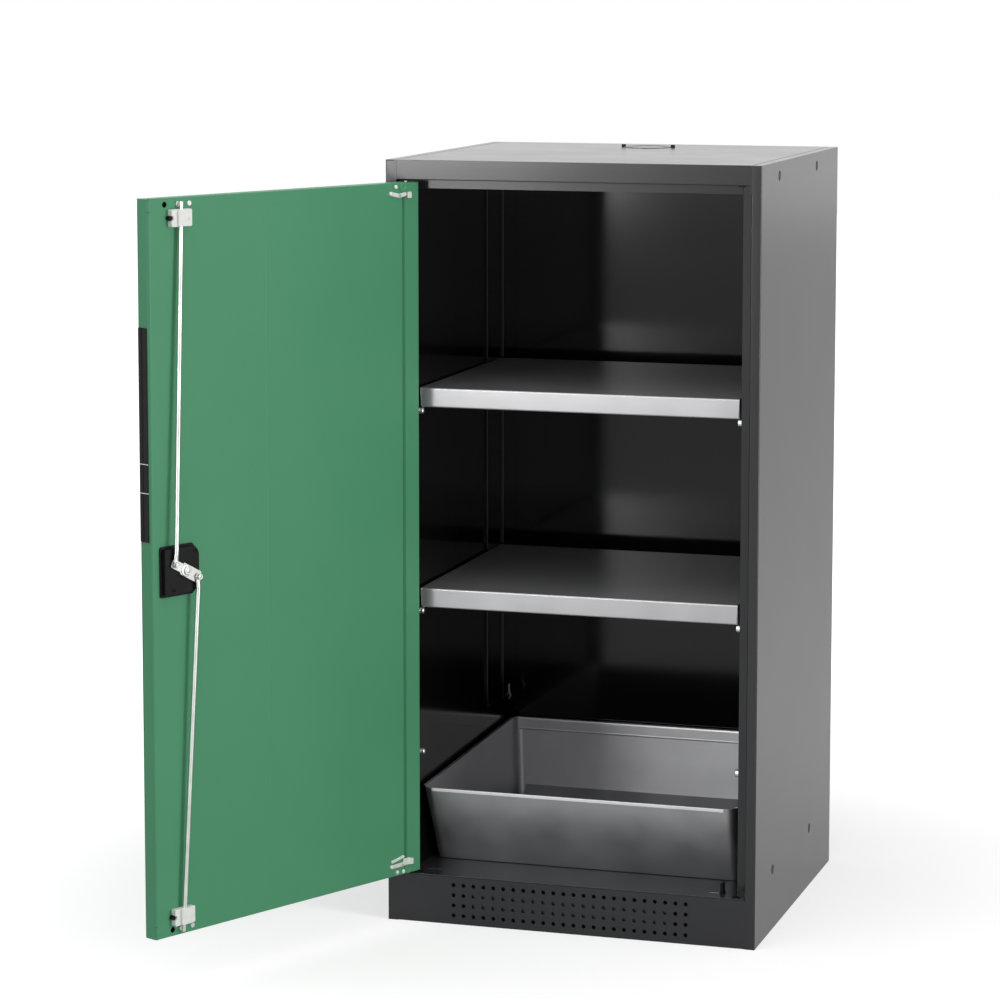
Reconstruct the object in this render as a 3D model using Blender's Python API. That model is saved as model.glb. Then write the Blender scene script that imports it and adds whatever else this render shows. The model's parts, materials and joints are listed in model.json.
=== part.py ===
"""Chemical storage cabinet: folded steel carcass, wing door with rod lock, two shelves, sump tray.

Metres, Z up, the front faces -Y and the origin is on the floor under the middle of the carcass.
Door pieces are drawn as if the door were shut and are then turned with it about the hinge axis.
"""

import math

import bmesh
import bpy
from mathutils import Matrix, Vector

# Carcass
BODY_WIDTH = 0.545
BODY_DEPTH = 0.520
BODY_HEIGHT = 1.105
SHEET = 0.0015
PLAY = 0.0003
RETURN_WIDTH = 0.015
REBATE_GAP = 0.011
LIP_WIDTH = 0.018
RAIL_HEIGHT = 0.028
RAIL_LIP = 0.014
PLINTH_HEIGHT = 0.072
PANEL_FLANGE = 0.012
REAR_SPACE = 0.010
BASE_RAIL_WIDTH = 0.060

# Air path
HOLE_RADIUS = 0.003
HOLE_ROWS = 4
HOLE_COLUMNS = 24
HOLE_PITCH = 0.015
COLLAR_RADIUS = 0.0365
COLLAR_WALL = 0.0025
COLLAR_RISE = 0.004
COLLAR_FOOT = 0.004
COLLAR_SETBACK = 0.090
DUCT_STEP = 0.0036
DUCT_REACH = 0.1473
DUCT_RUN = 0.0713
DUCT_FOOT_HEIGHT = 0.240

# Small pieces of the carcass
BUSHING_WALL = 0.001
BUSHING_RISE = 0.0017
BUSHING_DEPTH = 0.004
BUFFER_WIDTH = 0.005
BUFFER_HEIGHT = 0.016
BUFFER_INSET = 0.020
PLUG_RADIUS = 0.005
PLUG_LENGTH = 0.004
PLUG_HEIGHT_SHARES = (0.0805, 0.9819)
PLUG_DEPTH_SHARES = (0.2165, 0.7019)
STUD_RADIUS = 0.005
STUD_REACH = 0.0115

# Shelves and tray
SHELF_FRONT_SETBACK = 0.008
SHELF_SIDE_PLAY = 0.0011
SHELF_REAR_GAP = 0.004
SHELF_EDGE = 0.0285
SHELF_RETURN = 0.014
SHELF_SHARES = (0.4127, 0.6769)
TRAY_HEADROOM = 0.049
TRAY_TAPER = 0.004
TRAY_FRONT_SETBACK = 0.0055
TRAY_SLOPE_RUN = 0.0572
TRAY_REAR_GAP = 0.005
TRAY_FRONT_HEIGHT = 0.118
TRAY_REAR_HEIGHT = 0.127
TRAY_CORNER = 0.014
TRAY_WALL = 0.0016

# Door
DOOR_GAP = 0.003
DOOR_THICKNESS = 0.021
DOOR_OPEN_ANGLE = math.radians(116.0)
HINGE_INSET = 0.0105
HINGE_SETBACK = 0.006
HINGE_FLANGE = 0.027
END_FLANGE = 0.0175
GROOVE_WIDTH = 0.008
GROOVE_DEPTH = 0.006
FREE_EDGE_RADIUS = 0.004
FLANGE_HOLE_RADIUS = 0.004
FLANGE_HOLE_INSET = 0.030
PIN_RADIUS = 0.0025
PIN_COLLAR_HEIGHT = 0.003
PIN_TAIL = 0.012
PLATE_LENGTH = 0.049
PLATE_HEIGHT = 0.009
PLATE_THICKNESS = 0.002
PLATE_INSET = 0.018
PLATE_END_SHARE = 0.7
DISC_RADIUS = 0.0065
GRIP_BOTTOM = 0.6175
GRIP_LENGTH = 0.2862
GRIP_JOINT_SHARES = (0.229, 0.365)
GRIP_GROOVE = 0.0006

# Lock and rods
LOCK_INSET = 0.0515
LOCK_HEIGHT = 0.5755
HOUSING_WIDTH = 0.0676
HOUSING_HEIGHT = 0.069
HOUSING_THICKNESS = 0.0085
HOUSING_SHIFT = 0.0045
HOUSING_CLIP = 0.011
CAM_RADIUS = 0.0225
CAM_REST_ANGLE = math.radians(28.0)
CAM_THICKNESS = 0.002
CAM_ARM_WIDTH = 0.011
HUB_RADIUS = 0.0085
SPINDLE_RADIUS = 0.006
STUD_PIN_RADIUS = 0.0022
EYE_RADIUS = 0.0048
EYE_CLEARANCE = 0.0005
ROD_RADIUS = 0.0026
ROD_CLEARANCE = 0.0014
ROD_TIP_GAP = 0.008
GUIDE_INSET_TOP = 0.053
GUIDE_INSET_BOTTOM = 0.045
GUIDE_WIDTH = 0.036
GUIDE_HEIGHT = 0.023
GUIDE_COVER = 0.002
GUIDE_SLOT_CLEARANCE = 0.003
GUIDE_OVERLAP = 0.0025
RIVET_RADIUS = 0.0038
RIVET_HEIGHT = 0.0015
RIVET_SPACING = 0.020
ROD_SLOT_LENGTH = 0.019
PLUG_FACE_RADIUS = 0.0075
ROSETTE_WIDTH = 0.0035
ROSETTE_THICKNESS = 0.002
KEY_SLOT_WIDTH = 0.0013

# Facets of round pieces
ROUND_SIDES = 24
SMALL_SIDES = 16
HOLE_SIDES = 8
CORNER_STEPS = 4
SMOOTH_ANGLE = math.radians(35.0)

# Finishes: linear colour, roughness, metallic value
DARK_LACQUER = ((0.050, 0.050, 0.056), 0.42, 0.0)
INNER_LACQUER = ((0.012, 0.012, 0.013), 0.30, 0.0)
GREEN_LACQUER = ((0.084, 0.278, 0.150), 0.40, 0.0)
SHELF_STEEL = ((0.470, 0.465, 0.480), 0.34, 0.7)
TRAY_STEEL = ((0.540, 0.540, 0.560), 0.45, 1.0)
BRIGHT_ZINC = ((0.700, 0.700, 0.690), 0.28, 1.0)
BLACK_PLASTIC = ((0.010, 0.010, 0.011), 0.50, 0.0)
WHITE_PLASTIC = ((0.780, 0.780, 0.760), 0.45, 0.0)

# Places that follow from the sizes above
OVERRUN = SHEET + PLAY
HALF_WIDTH = BODY_WIDTH / 2
FRONT = -BODY_DEPTH / 2
REAR = BODY_DEPTH / 2
REBATE_X = HALF_WIDTH - RETURN_WIDTH
INNER_X = REBATE_X - LIP_WIDTH
LIP_Y = FRONT + DOOR_THICKNESS + REBATE_GAP
RAIL_Z = BODY_HEIGHT - RAIL_HEIGHT
LIP_Z = RAIL_Z - RAIL_LIP
FLOOR_TOP = PLINTH_HEIGHT + PLAY
PANEL_X = REBATE_X - PLAY
PANEL_FRONT = FRONT + SHEET + PLAY
PANEL_REAR = REAR - SHEET - PLAY
INNER_TOP = BODY_HEIGHT - PANEL_FLANGE - PLAY
LINER_Y = REAR - REAR_SPACE
DUCT_FRONT = REAR - DUCT_REACH
DUCT_BACK = DUCT_FRONT + DUCT_RUN
DOOR_LEFT = -REBATE_X + DOOR_GAP
DOOR_WIDTH = 2 * (REBATE_X - DOOR_GAP)
DOOR_BOTTOM = PLINTH_HEIGHT + DOOR_GAP
DOOR_TOP = RAIL_Z - DOOR_GAP
DOOR_INSIDE = FRONT + DOOR_THICKNESS
HINGE_AXIS = Vector((DOOR_LEFT + HINGE_INSET, FRONT + HINGE_SETBACK, 0.0))
PANEL_LOW = DOOR_BOTTOM + END_FLANGE + PLAY
PANEL_HIGH = DOOR_TOP - END_FLANGE - PLAY
BUSHING_NECK = PIN_RADIUS + PLAY + BUSHING_WALL
BUSHING_RADIUS = HINGE_SETBACK - 2 * PLAY
PIN_COLLAR_RADIUS = HINGE_SETBACK - SHEET - PLAY
LOCK_S = DOOR_WIDTH - LOCK_INSET
GUIDE_S = {1: DOOR_WIDTH - GUIDE_INSET_TOP, -1: DOOR_WIDTH - GUIDE_INSET_BOTTOM}
GUIDE_TOP_Z = PANEL_HIGH + GUIDE_OVERLAP
GUIDE_LOW_Z = PANEL_LOW - GUIDE_OVERLAP
SHELF_LEVELS = [BODY_HEIGHT * share for share in SHELF_SHARES]
SPARE_LEVEL = FLOOR_TOP + TRAY_REAR_HEIGHT + TRAY_HEADROOM
SHELF_FRONT = LIP_Y + SHELF_FRONT_SETBACK
SHELF_REAR = DUCT_BACK - SHELF_REAR_GAP
SHELF_HALF = INNER_X - PLAY - DUCT_STEP - SHELF_SIDE_PLAY
TRAY_HALF = INNER_X - 2 * (PLAY + DUCT_STEP)
CAM_BASE = PLAY + HOUSING_THICKNESS + PLAY
CAM_TOP = CAM_BASE + CAM_THICKNESS
EYE_HALF = ROD_RADIUS + PLAY / 2
EYE_LIFT = CAM_TOP + PLAY + EYE_HALF
STUD_TOP = EYE_LIFT + EYE_HALF + PLAY
ROD_GUIDE_LIFT = REBATE_GAP - ROD_CLEARANCE - ROD_RADIUS
GUIDE_TOP_LIFT = ROD_GUIDE_LIFT + ROD_RADIUS + 2 * PLAY + GUIDE_COVER


def clear_scene():
    """Remove whatever the start-up scene holds."""
    for item in list(bpy.data.objects):
        bpy.data.objects.remove(item, do_unlink=True)


def parts_collection():
    """Collection that holds the finished pieces."""
    name = "chemical_storage_cabinet"
    collection = bpy.data.collections.get(name)
    if collection is None:
        collection = bpy.data.collections.new(name)
        bpy.context.scene.collection.children.link(collection)
    return collection


def block(low, high):
    """Box between two corners, as a bmesh."""
    shape = bmesh.new()
    bmesh.ops.create_cube(shape, size=1.0)
    for vert in shape.verts:
        for axis in range(len(vert.co)):
            vert.co[axis] = high[axis] if vert.co[axis] > 0 else low[axis]
    return shape


def prism(outline, place, low, high):
    """Solid with a flat outline; place(a, b, level) gives the 3-D point."""
    shape = bmesh.new()
    near = [shape.verts.new(place(a, b, low)) for a, b in outline]
    far = [shape.verts.new(place(a, b, high)) for a, b in outline]
    shape.faces.new(near)
    shape.faces.new(list(reversed(far)))
    count = len(outline)
    for index in range(count):
        following = (index + 1) % count
        shape.faces.new((near[following], near[index], far[index], far[following]))
    bmesh.ops.recalc_face_normals(shape, faces=shape.faces)
    return shape


def level_place(a, b, level):
    """Outline drawn on the floor plan, level runs up."""
    return Vector((a, b, level))


def side_place(a, b, level):
    """Outline drawn in depth and height, level runs to the right."""
    return Vector((level, a, b))


def front_place(a, b, level):
    """Outline drawn in width and height, level runs to the rear."""
    return Vector((a, level, b))


def folded(path, thickness):
    """Outline of a sheet that follows the path, with its material on the left of it."""
    normals = []
    for start, end in zip(path, path[1:]):
        run = Vector(end) - Vector(start)
        normals.append(Vector((-run.y, run.x)).normalized())
    inner = []
    for index, point in enumerate(path):
        before = normals[max(index - 1, 0)]
        after = normals[min(index, len(normals) - 1)]
        mitre = (before + after) / (1.0 + before.dot(after))
        inner.append(tuple(Vector(point) + mitre * thickness))
    return list(path) + list(reversed(inner))


def arc(centre, radius, start, end, steps):
    """Points on an arc, angles in radians."""
    points = []
    for index in range(steps + 1):
        angle = start + (end - start) * index / steps
        points.append((centre[0] + radius * math.cos(angle), centre[1] + radius * math.sin(angle)))
    return points


def turned(profile, centre, axis, sides):
    """Round solid from a closed profile of (radius, height) pairs about an axis."""
    shape = bmesh.new()
    turn = Vector((0.0, 0.0, 1.0)).rotation_difference(Vector(axis)).to_matrix().to_4x4()
    placing = Matrix.Translation(centre) @ turn
    rings = []
    for radius, height in profile:
        if radius == 0:
            rings.append([shape.verts.new(placing @ Vector((0.0, 0.0, height)))] * sides)
            continue
        ring = []
        for step in range(sides):
            angle = 2 * math.pi * (step + 0.5) / sides
            point = Vector((radius * math.cos(angle), radius * math.sin(angle), height))
            ring.append(shape.verts.new(placing @ point))
        rings.append(ring)
    for index, ring in enumerate(rings):
        after = rings[(index + 1) % len(rings)]
        for step in range(sides):
            following = (step + 1) % sides
            corners = [ring[step], ring[following], after[following], after[step]]
            distinct = list(dict.fromkeys(corners))
            if len(distinct) > 2:
                shape.faces.new(distinct)
    bmesh.ops.recalc_face_normals(shape, faces=shape.faces)
    return shape


def cylinder(start, end, radius, sides=ROUND_SIDES):
    """Plain cylinder between two points."""
    run = Vector(end) - Vector(start)
    profile = [(0, 0), (radius, 0), (radius, run.length), (0, run.length)]
    return turned(profile, Vector(start), run, sides)


def merged(shapes):
    """Put several separate solids in one bmesh."""
    whole = bmesh.new()
    for shape in shapes:
        mesh = bpy.data.meshes.new("piece")
        shape.to_mesh(mesh)
        shape.free()
        whole.from_mesh(mesh)
        bpy.data.meshes.remove(mesh)
    return whole


def combined(shape, tool, operation):
    """Boolean of two bmesh solids, given back as a new bmesh."""
    items = []
    for label, source in (("base", shape), ("tool", tool)):
        mesh = bpy.data.meshes.new(label)
        source.to_mesh(mesh)
        source.free()
        item = bpy.data.objects.new(label, mesh)
        bpy.context.scene.collection.objects.link(item)
        items.append(item)
    base, other = items
    modifier = base.modifiers.new("combine", "BOOLEAN")
    modifier.operation = operation
    modifier.solver = "EXACT"
    modifier.object = other
    bpy.context.view_layer.update()
    graph = bpy.context.evaluated_depsgraph_get()
    outcome = bpy.data.meshes.new_from_object(base.evaluated_get(graph))
    result = bmesh.new()
    result.from_mesh(outcome)
    bpy.data.meshes.remove(outcome)
    for item in items:
        mesh = item.data
        bpy.data.objects.remove(item, do_unlink=True)
        bpy.data.meshes.remove(mesh)
    return result


def cut(shape, *tools):
    """Take separate cutters out of a solid."""
    return combined(shape, merged(tools), "DIFFERENCE")


def fused(shape, *others):
    """Join overlapping solids into one."""
    for other in others:
        shape = combined(shape, other, "UNION")
    return shape


def part(name, shape, finish, origin=(0.0, 0.0, 0.0)):
    """Make a finished, named piece from a bmesh drawn in cabinet coordinates."""
    colour, roughness, metallic = finish
    start = Vector(origin)
    bmesh.ops.translate(shape, verts=shape.verts, vec=-start)
    bmesh.ops.recalc_face_normals(shape, faces=shape.faces)
    mesh = bpy.data.meshes.new(name)
    shape.to_mesh(mesh)
    shape.free()
    mesh.shade_smooth()
    mesh.set_sharp_from_angle(angle=SMOOTH_ANGLE)
    material = bpy.data.materials.new(name)
    material.use_nodes = True
    shader = material.node_tree.nodes["Principled BSDF"]
    shader.inputs["Base Color"].default_value = (*colour, 1.0)
    shader.inputs["Roughness"].default_value = roughness
    shader.inputs["Metallic"].default_value = metallic
    mesh.materials.append(material)
    item = bpy.data.objects.new(name, mesh)
    item.location = start
    parts_collection().objects.link(item)
    return item


def door_part(name, shape, finish, origin=None):
    """Make a piece drawn with the door shut, then turn it to the open door."""
    start = HINGE_AXIS if origin is None else Vector(origin)
    item = part(name, shape, finish, start)
    turn = Matrix.Rotation(-DOOR_OPEN_ANGLE, 4, "Z")
    item.matrix_world = Matrix.Translation(HINGE_AXIS) @ turn @ Matrix.Translation(start - HINGE_AXIS)
    return item


def on_door(s, z, lift):
    """Point on the shut door: s from the hinge edge, lift above the inside face."""
    return Vector((DOOR_LEFT + s, DOOR_INSIDE + lift, z))


def door_plan(s, lift, level):
    """Outline drawn in a level section of the door."""
    return on_door(s, level, lift)


def door_face(s, z, level):
    """Outline drawn on the inside face of the door."""
    return on_door(s, z, level)


def door_box(s_low, s_high, z_low, z_high, lift_low, lift_high):
    """Box in door terms."""
    return block(on_door(s_low, z_low, lift_low), on_door(s_high, z_high, lift_high))


def side_wall(name, side):
    """Folded outer wall: stop lip, rebate wall, front return, outer wall, rear return, top band."""
    path = [(INNER_X, LIP_Y), (REBATE_X, LIP_Y), (REBATE_X, FRONT), (HALF_WIDTH, FRONT)]
    path += [(HALF_WIDTH, REAR), (REBATE_X, REAR)]
    outline = [(side * x, y) for x, y in folded(path, SHEET)]
    wall = prism(outline, level_place, 0.0, BODY_HEIGHT)
    near, far = sorted((side * REBATE_X, side * HALF_WIDTH))
    band = block((near, FRONT, BODY_HEIGHT - SHEET), (far, REAR, BODY_HEIGHT))
    wall = fused(wall, band)
    near, far = sorted((side * (INNER_X - OVERRUN), side * REBATE_X))
    low = (near, LIP_Y - OVERRUN, INNER_TOP)
    wall = cut(wall, block(low, (far, LIP_Y + SHEET + OVERRUN, BODY_HEIGHT + OVERRUN)))
    holes = []
    for place in plug_places(side):
        reach = Vector((side * OVERRUN, 0.0, 0.0))
        inward = Vector((side * (SHEET + OVERRUN), 0.0, 0.0))
        holes.append(cylinder(place - inward, place + reach, PLUG_RADIUS + PLAY, SMALL_SIDES))
    part(name, cut(wall, *holes), DARK_LACQUER)


def plug_places(side):
    """Centres of the plugs on the outer face of one side wall."""
    places = []
    for height_share in PLUG_HEIGHT_SHARES:
        for depth_share in PLUG_DEPTH_SHARES:
            y = FRONT + BODY_DEPTH * depth_share
            places.append(Vector((side * HALF_WIDTH, y, BODY_HEIGHT * height_share)))
    return places


def wall_plugs(side, label):
    """Plugs that close the holes of one side wall."""
    for number, place in enumerate(plug_places(side), start=1):
        end = place - Vector((side * PLUG_LENGTH, 0.0, 0.0))
        shape = cylinder(end, place, PLUG_RADIUS, SMALL_SIDES)
        part(f"wall_plug_{label}_{number}", shape, BLACK_PLASTIC)


def inner_wall(name, side):
    """Lacquered liner beside the compartments."""
    near, far = sorted((side * INNER_X, side * (INNER_X + SHEET)))
    low = (near, LIP_Y + SHEET + PLAY, FLOOR_TOP)
    part(name, block(low, (far, PANEL_REAR, INNER_TOP)), INNER_LACQUER)


def rear_panels():
    """Outer back panel between the rear returns, and the liner in front of it."""
    low = (-PANEL_X, REAR - SHEET, 0.0)
    part("rear_wall", block(low, (PANEL_X, REAR, BODY_HEIGHT)), DARK_LACQUER)
    liner_x = INNER_X - PLAY
    low = (-liner_x, LINER_Y, FLOOR_TOP)
    part("rear_liner", block(low, (liner_x, LINER_Y + SHEET, INNER_TOP)), INNER_LACQUER)


def top_panel():
    """Top sheet with folded edges and the exhaust hole."""
    low_z = BODY_HEIGHT - PANEL_FLANGE
    shape = block((-PANEL_X, PANEL_FRONT, low_z), (PANEL_X, PANEL_REAR, BODY_HEIGHT))
    hollow_low = (-PANEL_X + SHEET, PANEL_FRONT + SHEET, low_z - OVERRUN)
    hollow_high = (PANEL_X - SHEET, PANEL_REAR - SHEET, BODY_HEIGHT - SHEET)
    shape = cut(shape, block(hollow_low, hollow_high))
    centre = Vector((0.0, collar_y(), low_z))
    above = Vector((0.0, collar_y(), BODY_HEIGHT + OVERRUN))
    hole = cylinder(centre, above, COLLAR_RADIUS + PLAY)
    part("top_panel", cut(shape, hole), DARK_LACQUER)


def collar_y():
    """Depth of the exhaust hole's middle."""
    return REAR - COLLAR_SETBACK


def exhaust_collar():
    """Ring in the top panel with a foot under the sheet."""
    inner = COLLAR_RADIUS - COLLAR_WALL
    foot_top = -SHEET - PLAY
    foot_low = foot_top - COLLAR_WALL
    profile = [(inner, foot_low), (COLLAR_RADIUS + COLLAR_FOOT, foot_low)]
    profile += [(COLLAR_RADIUS + COLLAR_FOOT, foot_top), (COLLAR_RADIUS, foot_top)]
    profile += [(COLLAR_RADIUS, COLLAR_RISE), (inner, COLLAR_RISE)]
    centre = Vector((0.0, collar_y(), BODY_HEIGHT))
    part("exhaust_collar", turned(profile, centre, (0, 0, 1), ROUND_SIDES), DARK_LACQUER)


def bushing_place(side):
    """Plan position of a hinge bushing."""
    return Vector((-side * HINGE_AXIS.x, HINGE_AXIS.y, 0.0))


def rod_slots(turn, z_low, z_high):
    """Cutters for the rod slots and bushing holes of the rail (1) or the ledge (-1)."""
    cutters = []
    for side in (-1, 1):
        middle_x = side * (DOOR_LEFT + GUIDE_S[turn])
        middle_y = DOOR_INSIDE + ROD_GUIDE_LIFT
        half_y = ROD_RADIUS + PLAY
        low = (middle_x - ROD_SLOT_LENGTH / 2, middle_y - half_y - PLAY, z_low)
        high = (middle_x + ROD_SLOT_LENGTH / 2, middle_y + half_y, z_high)
        cutters.append(block(low, high))
        start = bushing_place(side) + Vector((0.0, 0.0, z_low))
        end = bushing_place(side) + Vector((0.0, 0.0, z_high))
        cutters.append(cylinder(start, end, BUSHING_NECK + PLAY, SMALL_SIDES))
    return cutters


def front_top_rail():
    """Rail above the door: face, underside with rod slots, and stop lip."""
    path = [(LIP_Y, LIP_Z), (LIP_Y, RAIL_Z), (FRONT, RAIL_Z), (FRONT, BODY_HEIGHT)]
    outline = folded(list(reversed(path)), SHEET)
    shape = prism(outline, side_place, -PANEL_X, PANEL_X)
    notches = []
    for side in (-1, 1):
        near, far = sorted((side * (INNER_X - PLAY), side * (PANEL_X + OVERRUN)))
        low = (near, LIP_Y - PLAY, LIP_Z - OVERRUN)
        notches.append(block(low, (far, LIP_Y + SHEET + OVERRUN, RAIL_Z + SHEET + OVERRUN)))
    shape = cut(shape, *notches)
    shape = cut(shape, *rod_slots(1, RAIL_Z - OVERRUN, RAIL_Z + SHEET + OVERRUN))
    part("front_top_rail", shape, DARK_LACQUER)


def floor_panel():
    """Ledge and floor sheet, notched round the stop lips."""
    low_z = PLINTH_HEIGHT - SHEET
    shape = block((-PANEL_X, FRONT, low_z), (PANEL_X, PANEL_REAR, PLINTH_HEIGHT))
    notches = []
    for side in (-1, 1):
        near, far = sorted((side * (INNER_X - PLAY), side * (PANEL_X + OVERRUN)))
        low = (near, LIP_Y - PLAY, low_z - OVERRUN)
        high = (far, LIP_Y + SHEET + PLAY, PLINTH_HEIGHT + OVERRUN)
        notches.append(block(low, high))
    shape = cut(shape, *notches)
    shape = cut(shape, *rod_slots(-1, low_z - OVERRUN, PLINTH_HEIGHT + OVERRUN))
    part("floor_panel", shape, DARK_LACQUER)


def plinth_front():
    """Perforated intake plate with a fold under it."""
    top = PLINTH_HEIGHT - SHEET - PLAY
    path = [(FRONT, top), (FRONT, 0.0), (FRONT + RETURN_WIDTH, 0.0)]
    shape = prism(folded(path, SHEET), side_place, -PANEL_X, PANEL_X)
    low_x = -HOLE_PITCH * (HOLE_COLUMNS - 1) / 2
    low_z = PLINTH_HEIGHT / 2 - HOLE_PITCH * (HOLE_ROWS - 1) / 2
    holes = []
    for row in range(HOLE_ROWS):
        for column in range(HOLE_COLUMNS):
            x = low_x + column * HOLE_PITCH
            start = Vector((x, FRONT - OVERRUN, low_z + row * HOLE_PITCH))
            end = start + Vector((0.0, SHEET + 2 * OVERRUN, 0.0))
            holes.append(cylinder(start, end, HOLE_RADIUS, HOLE_SIDES))
    part("plinth_front", cut(shape, *holes), DARK_LACQUER)


def base_rail():
    """Channel from front to rear that stands on the floor."""
    half = BASE_RAIL_WIDTH / 2
    top = PLINTH_HEIGHT - SHEET - PLAY
    path = [(half, top), (half, 0.0), (-half, 0.0), (-half, top)]
    front = FRONT + RETURN_WIDTH + PLAY
    outline = folded([(-x, z) for x, z in path], SHEET)
    part("base_rail", prism(outline, front_place, front, PANEL_REAR), DARK_LACQUER)


def duct_cover(name, side):
    """Stepped air duct at the rear of an inner wall."""
    wall = INNER_X - PLAY
    path = [(wall - 2 * DUCT_STEP, LINER_Y - PLAY), (wall - 2 * DUCT_STEP, DUCT_BACK)]
    path += [(wall - DUCT_STEP, DUCT_BACK), (wall - DUCT_STEP, DUCT_FRONT), (wall, DUCT_FRONT)]
    outline = [(side * x, y) for x, y in folded(path, SHEET)]
    part(name, prism(outline, level_place, DUCT_FOOT_HEIGHT, INNER_TOP), INNER_LACQUER)


def hinge_bushing(name, side, level, up):
    """Flanged bush in the rail or the ledge; up is the way its flange faces."""
    bore = PIN_RADIUS + PLAY
    profile = [(bore, BUSHING_RISE), (bore, -BUSHING_DEPTH), (BUSHING_NECK, -BUSHING_DEPTH)]
    profile += [(BUSHING_NECK, PLAY), (BUSHING_RADIUS, PLAY), (BUSHING_RADIUS, BUSHING_RISE)]
    centre = bushing_place(side) + Vector((0.0, 0.0, level))
    part(name, turned(profile, centre, (0, 0, up), SMALL_SIDES), BLACK_PLASTIC)


def door_buffer():
    """Black stop on the ledge in front of the lip."""
    x = INNER_X - BUFFER_INSET
    low = (x - BUFFER_WIDTH / 2, DOOR_INSIDE + PLAY, FLOOR_TOP)
    high = (x + BUFFER_WIDTH / 2, LIP_Y, FLOOR_TOP + BUFFER_HEIGHT)
    part("door_buffer", block(low, high), BLACK_PLASTIC)


def shelf_support(name, side, y, level):
    """Zinc stud on an inner wall; level is the underside it carries."""
    z = level - PLAY - STUD_RADIUS
    start = Vector((side * (INNER_X - PLAY), y, z))
    end = start - Vector((side * STUD_REACH, 0.0, 0.0))
    part(name, cylinder(start, end, STUD_RADIUS, SMALL_SIDES), BRIGHT_ZINC)


def shelf_supports():
    """Studs under both shelves, and a free pair at the third level."""
    rows = (SHELF_FRONT + 2 * SHEET, DUCT_FRONT - 2 * STUD_RADIUS)
    for side, label in ((-1, "left"), (1, "right")):
        for level, level_label in zip(SHELF_LEVELS, ("lower", "upper")):
            for y, row_label in zip(rows, ("front", "rear")):
                shelf_support(f"shelf_support_{level_label}_{label}_{row_label}", side, y, level)
        shelf_support(f"shelf_support_spare_{label}", side, rows[0], SPARE_LEVEL)


def shelf(name, level):
    """Sheet shelf with folded edges and a front return; level is its underside."""
    half = SHELF_HALF
    rear = SHELF_REAR
    top = level + SHELF_EDGE
    shape = block((-half, SHELF_FRONT, level), (half, rear, top))
    low = (-half + SHEET, SHELF_FRONT + SHEET, level + SHEET)
    high = (half - SHEET, rear - SHEET, top - SHEET)
    well_low = (-half + SHELF_RETURN, SHELF_FRONT + SHELF_RETURN, level - OVERRUN)
    well_high = (half - SHELF_RETURN, rear - SHELF_RETURN, top - SHEET)
    shape = cut(cut(shape, block(well_low, well_high)), block(low, high))
    part(name, shape, SHELF_STEEL)


def round_corners(half, front, rear, radius, z_front, z_rear):
    """Loop of a tray rim or floor with round corners, rising from front to rear."""
    loop = []
    for corner, quarter in (((1, 1), 0), ((-1, 1), 1), ((-1, -1), 2), ((1, -1), 3)):
        x = corner[0] * (half - radius)
        y = rear - radius if corner[1] > 0 else front + radius
        start = quarter * math.pi / 2
        loop += arc((x, y), radius, start, start + math.pi / 2, CORNER_STEPS)
    points = []
    for x, y in loop:
        share = (y - front) / (rear - front)
        points.append(Vector((x, y, z_front + (z_rear - z_front) * share)))
    return points


def sump_tray():
    """Deep tray with tapered sides and a sloping front wall."""
    low = FLOOR_TOP
    half = TRAY_HALF
    front = LIP_Y + TRAY_FRONT_SETBACK
    rear = LINER_Y - TRAY_REAR_GAP
    foot_front = front + TRAY_SLOPE_RUN
    foot_half = half - TRAY_TAPER
    heights = (low + TRAY_FRONT_HEIGHT, low + TRAY_REAR_HEIGHT)
    inner_radius = TRAY_CORNER - TRAY_WALL
    wall = TRAY_WALL
    loops = [round_corners(foot_half, foot_front, rear, inner_radius, low, low)]
    loops.append(round_corners(half, front, rear, TRAY_CORNER, *heights))
    loops.append(round_corners(half - wall, front + wall, rear - wall, inner_radius, *heights))
    floor = low + wall
    inner_foot = (foot_half - wall, foot_front + wall, rear - wall)
    loops.append(round_corners(*inner_foot, inner_radius - wall, floor, floor))
    shape = bmesh.new()
    rings = [[shape.verts.new(point) for point in loop] for loop in loops]
    count = len(rings[0])
    for ring, after in zip(rings, rings[1:]):
        for index in range(count):
            following = (index + 1) % count
            shape.faces.new((ring[index], ring[following], after[following], after[index]))
    shape.faces.new(list(reversed(rings[0])))
    shape.faces.new(rings[-1])
    bmesh.ops.recalc_face_normals(shape, faces=shape.faces)
    part("sump_tray", shape, TRAY_STEEL)


def door_outline(inset):
    """Level section of the door with its rounded free edge, drawn inset by a sheet."""
    radius = FREE_EDGE_RADIUS
    corner = arc((DOOR_WIDTH - radius, -radius), radius - inset, 0.0, math.pi / 2, CORNER_STEPS)
    outline = [(inset, inset - DOOR_THICKNESS), (DOOR_WIDTH - inset, inset - DOOR_THICKNESS)]
    return outline + corner + [(inset, -inset)]


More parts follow.
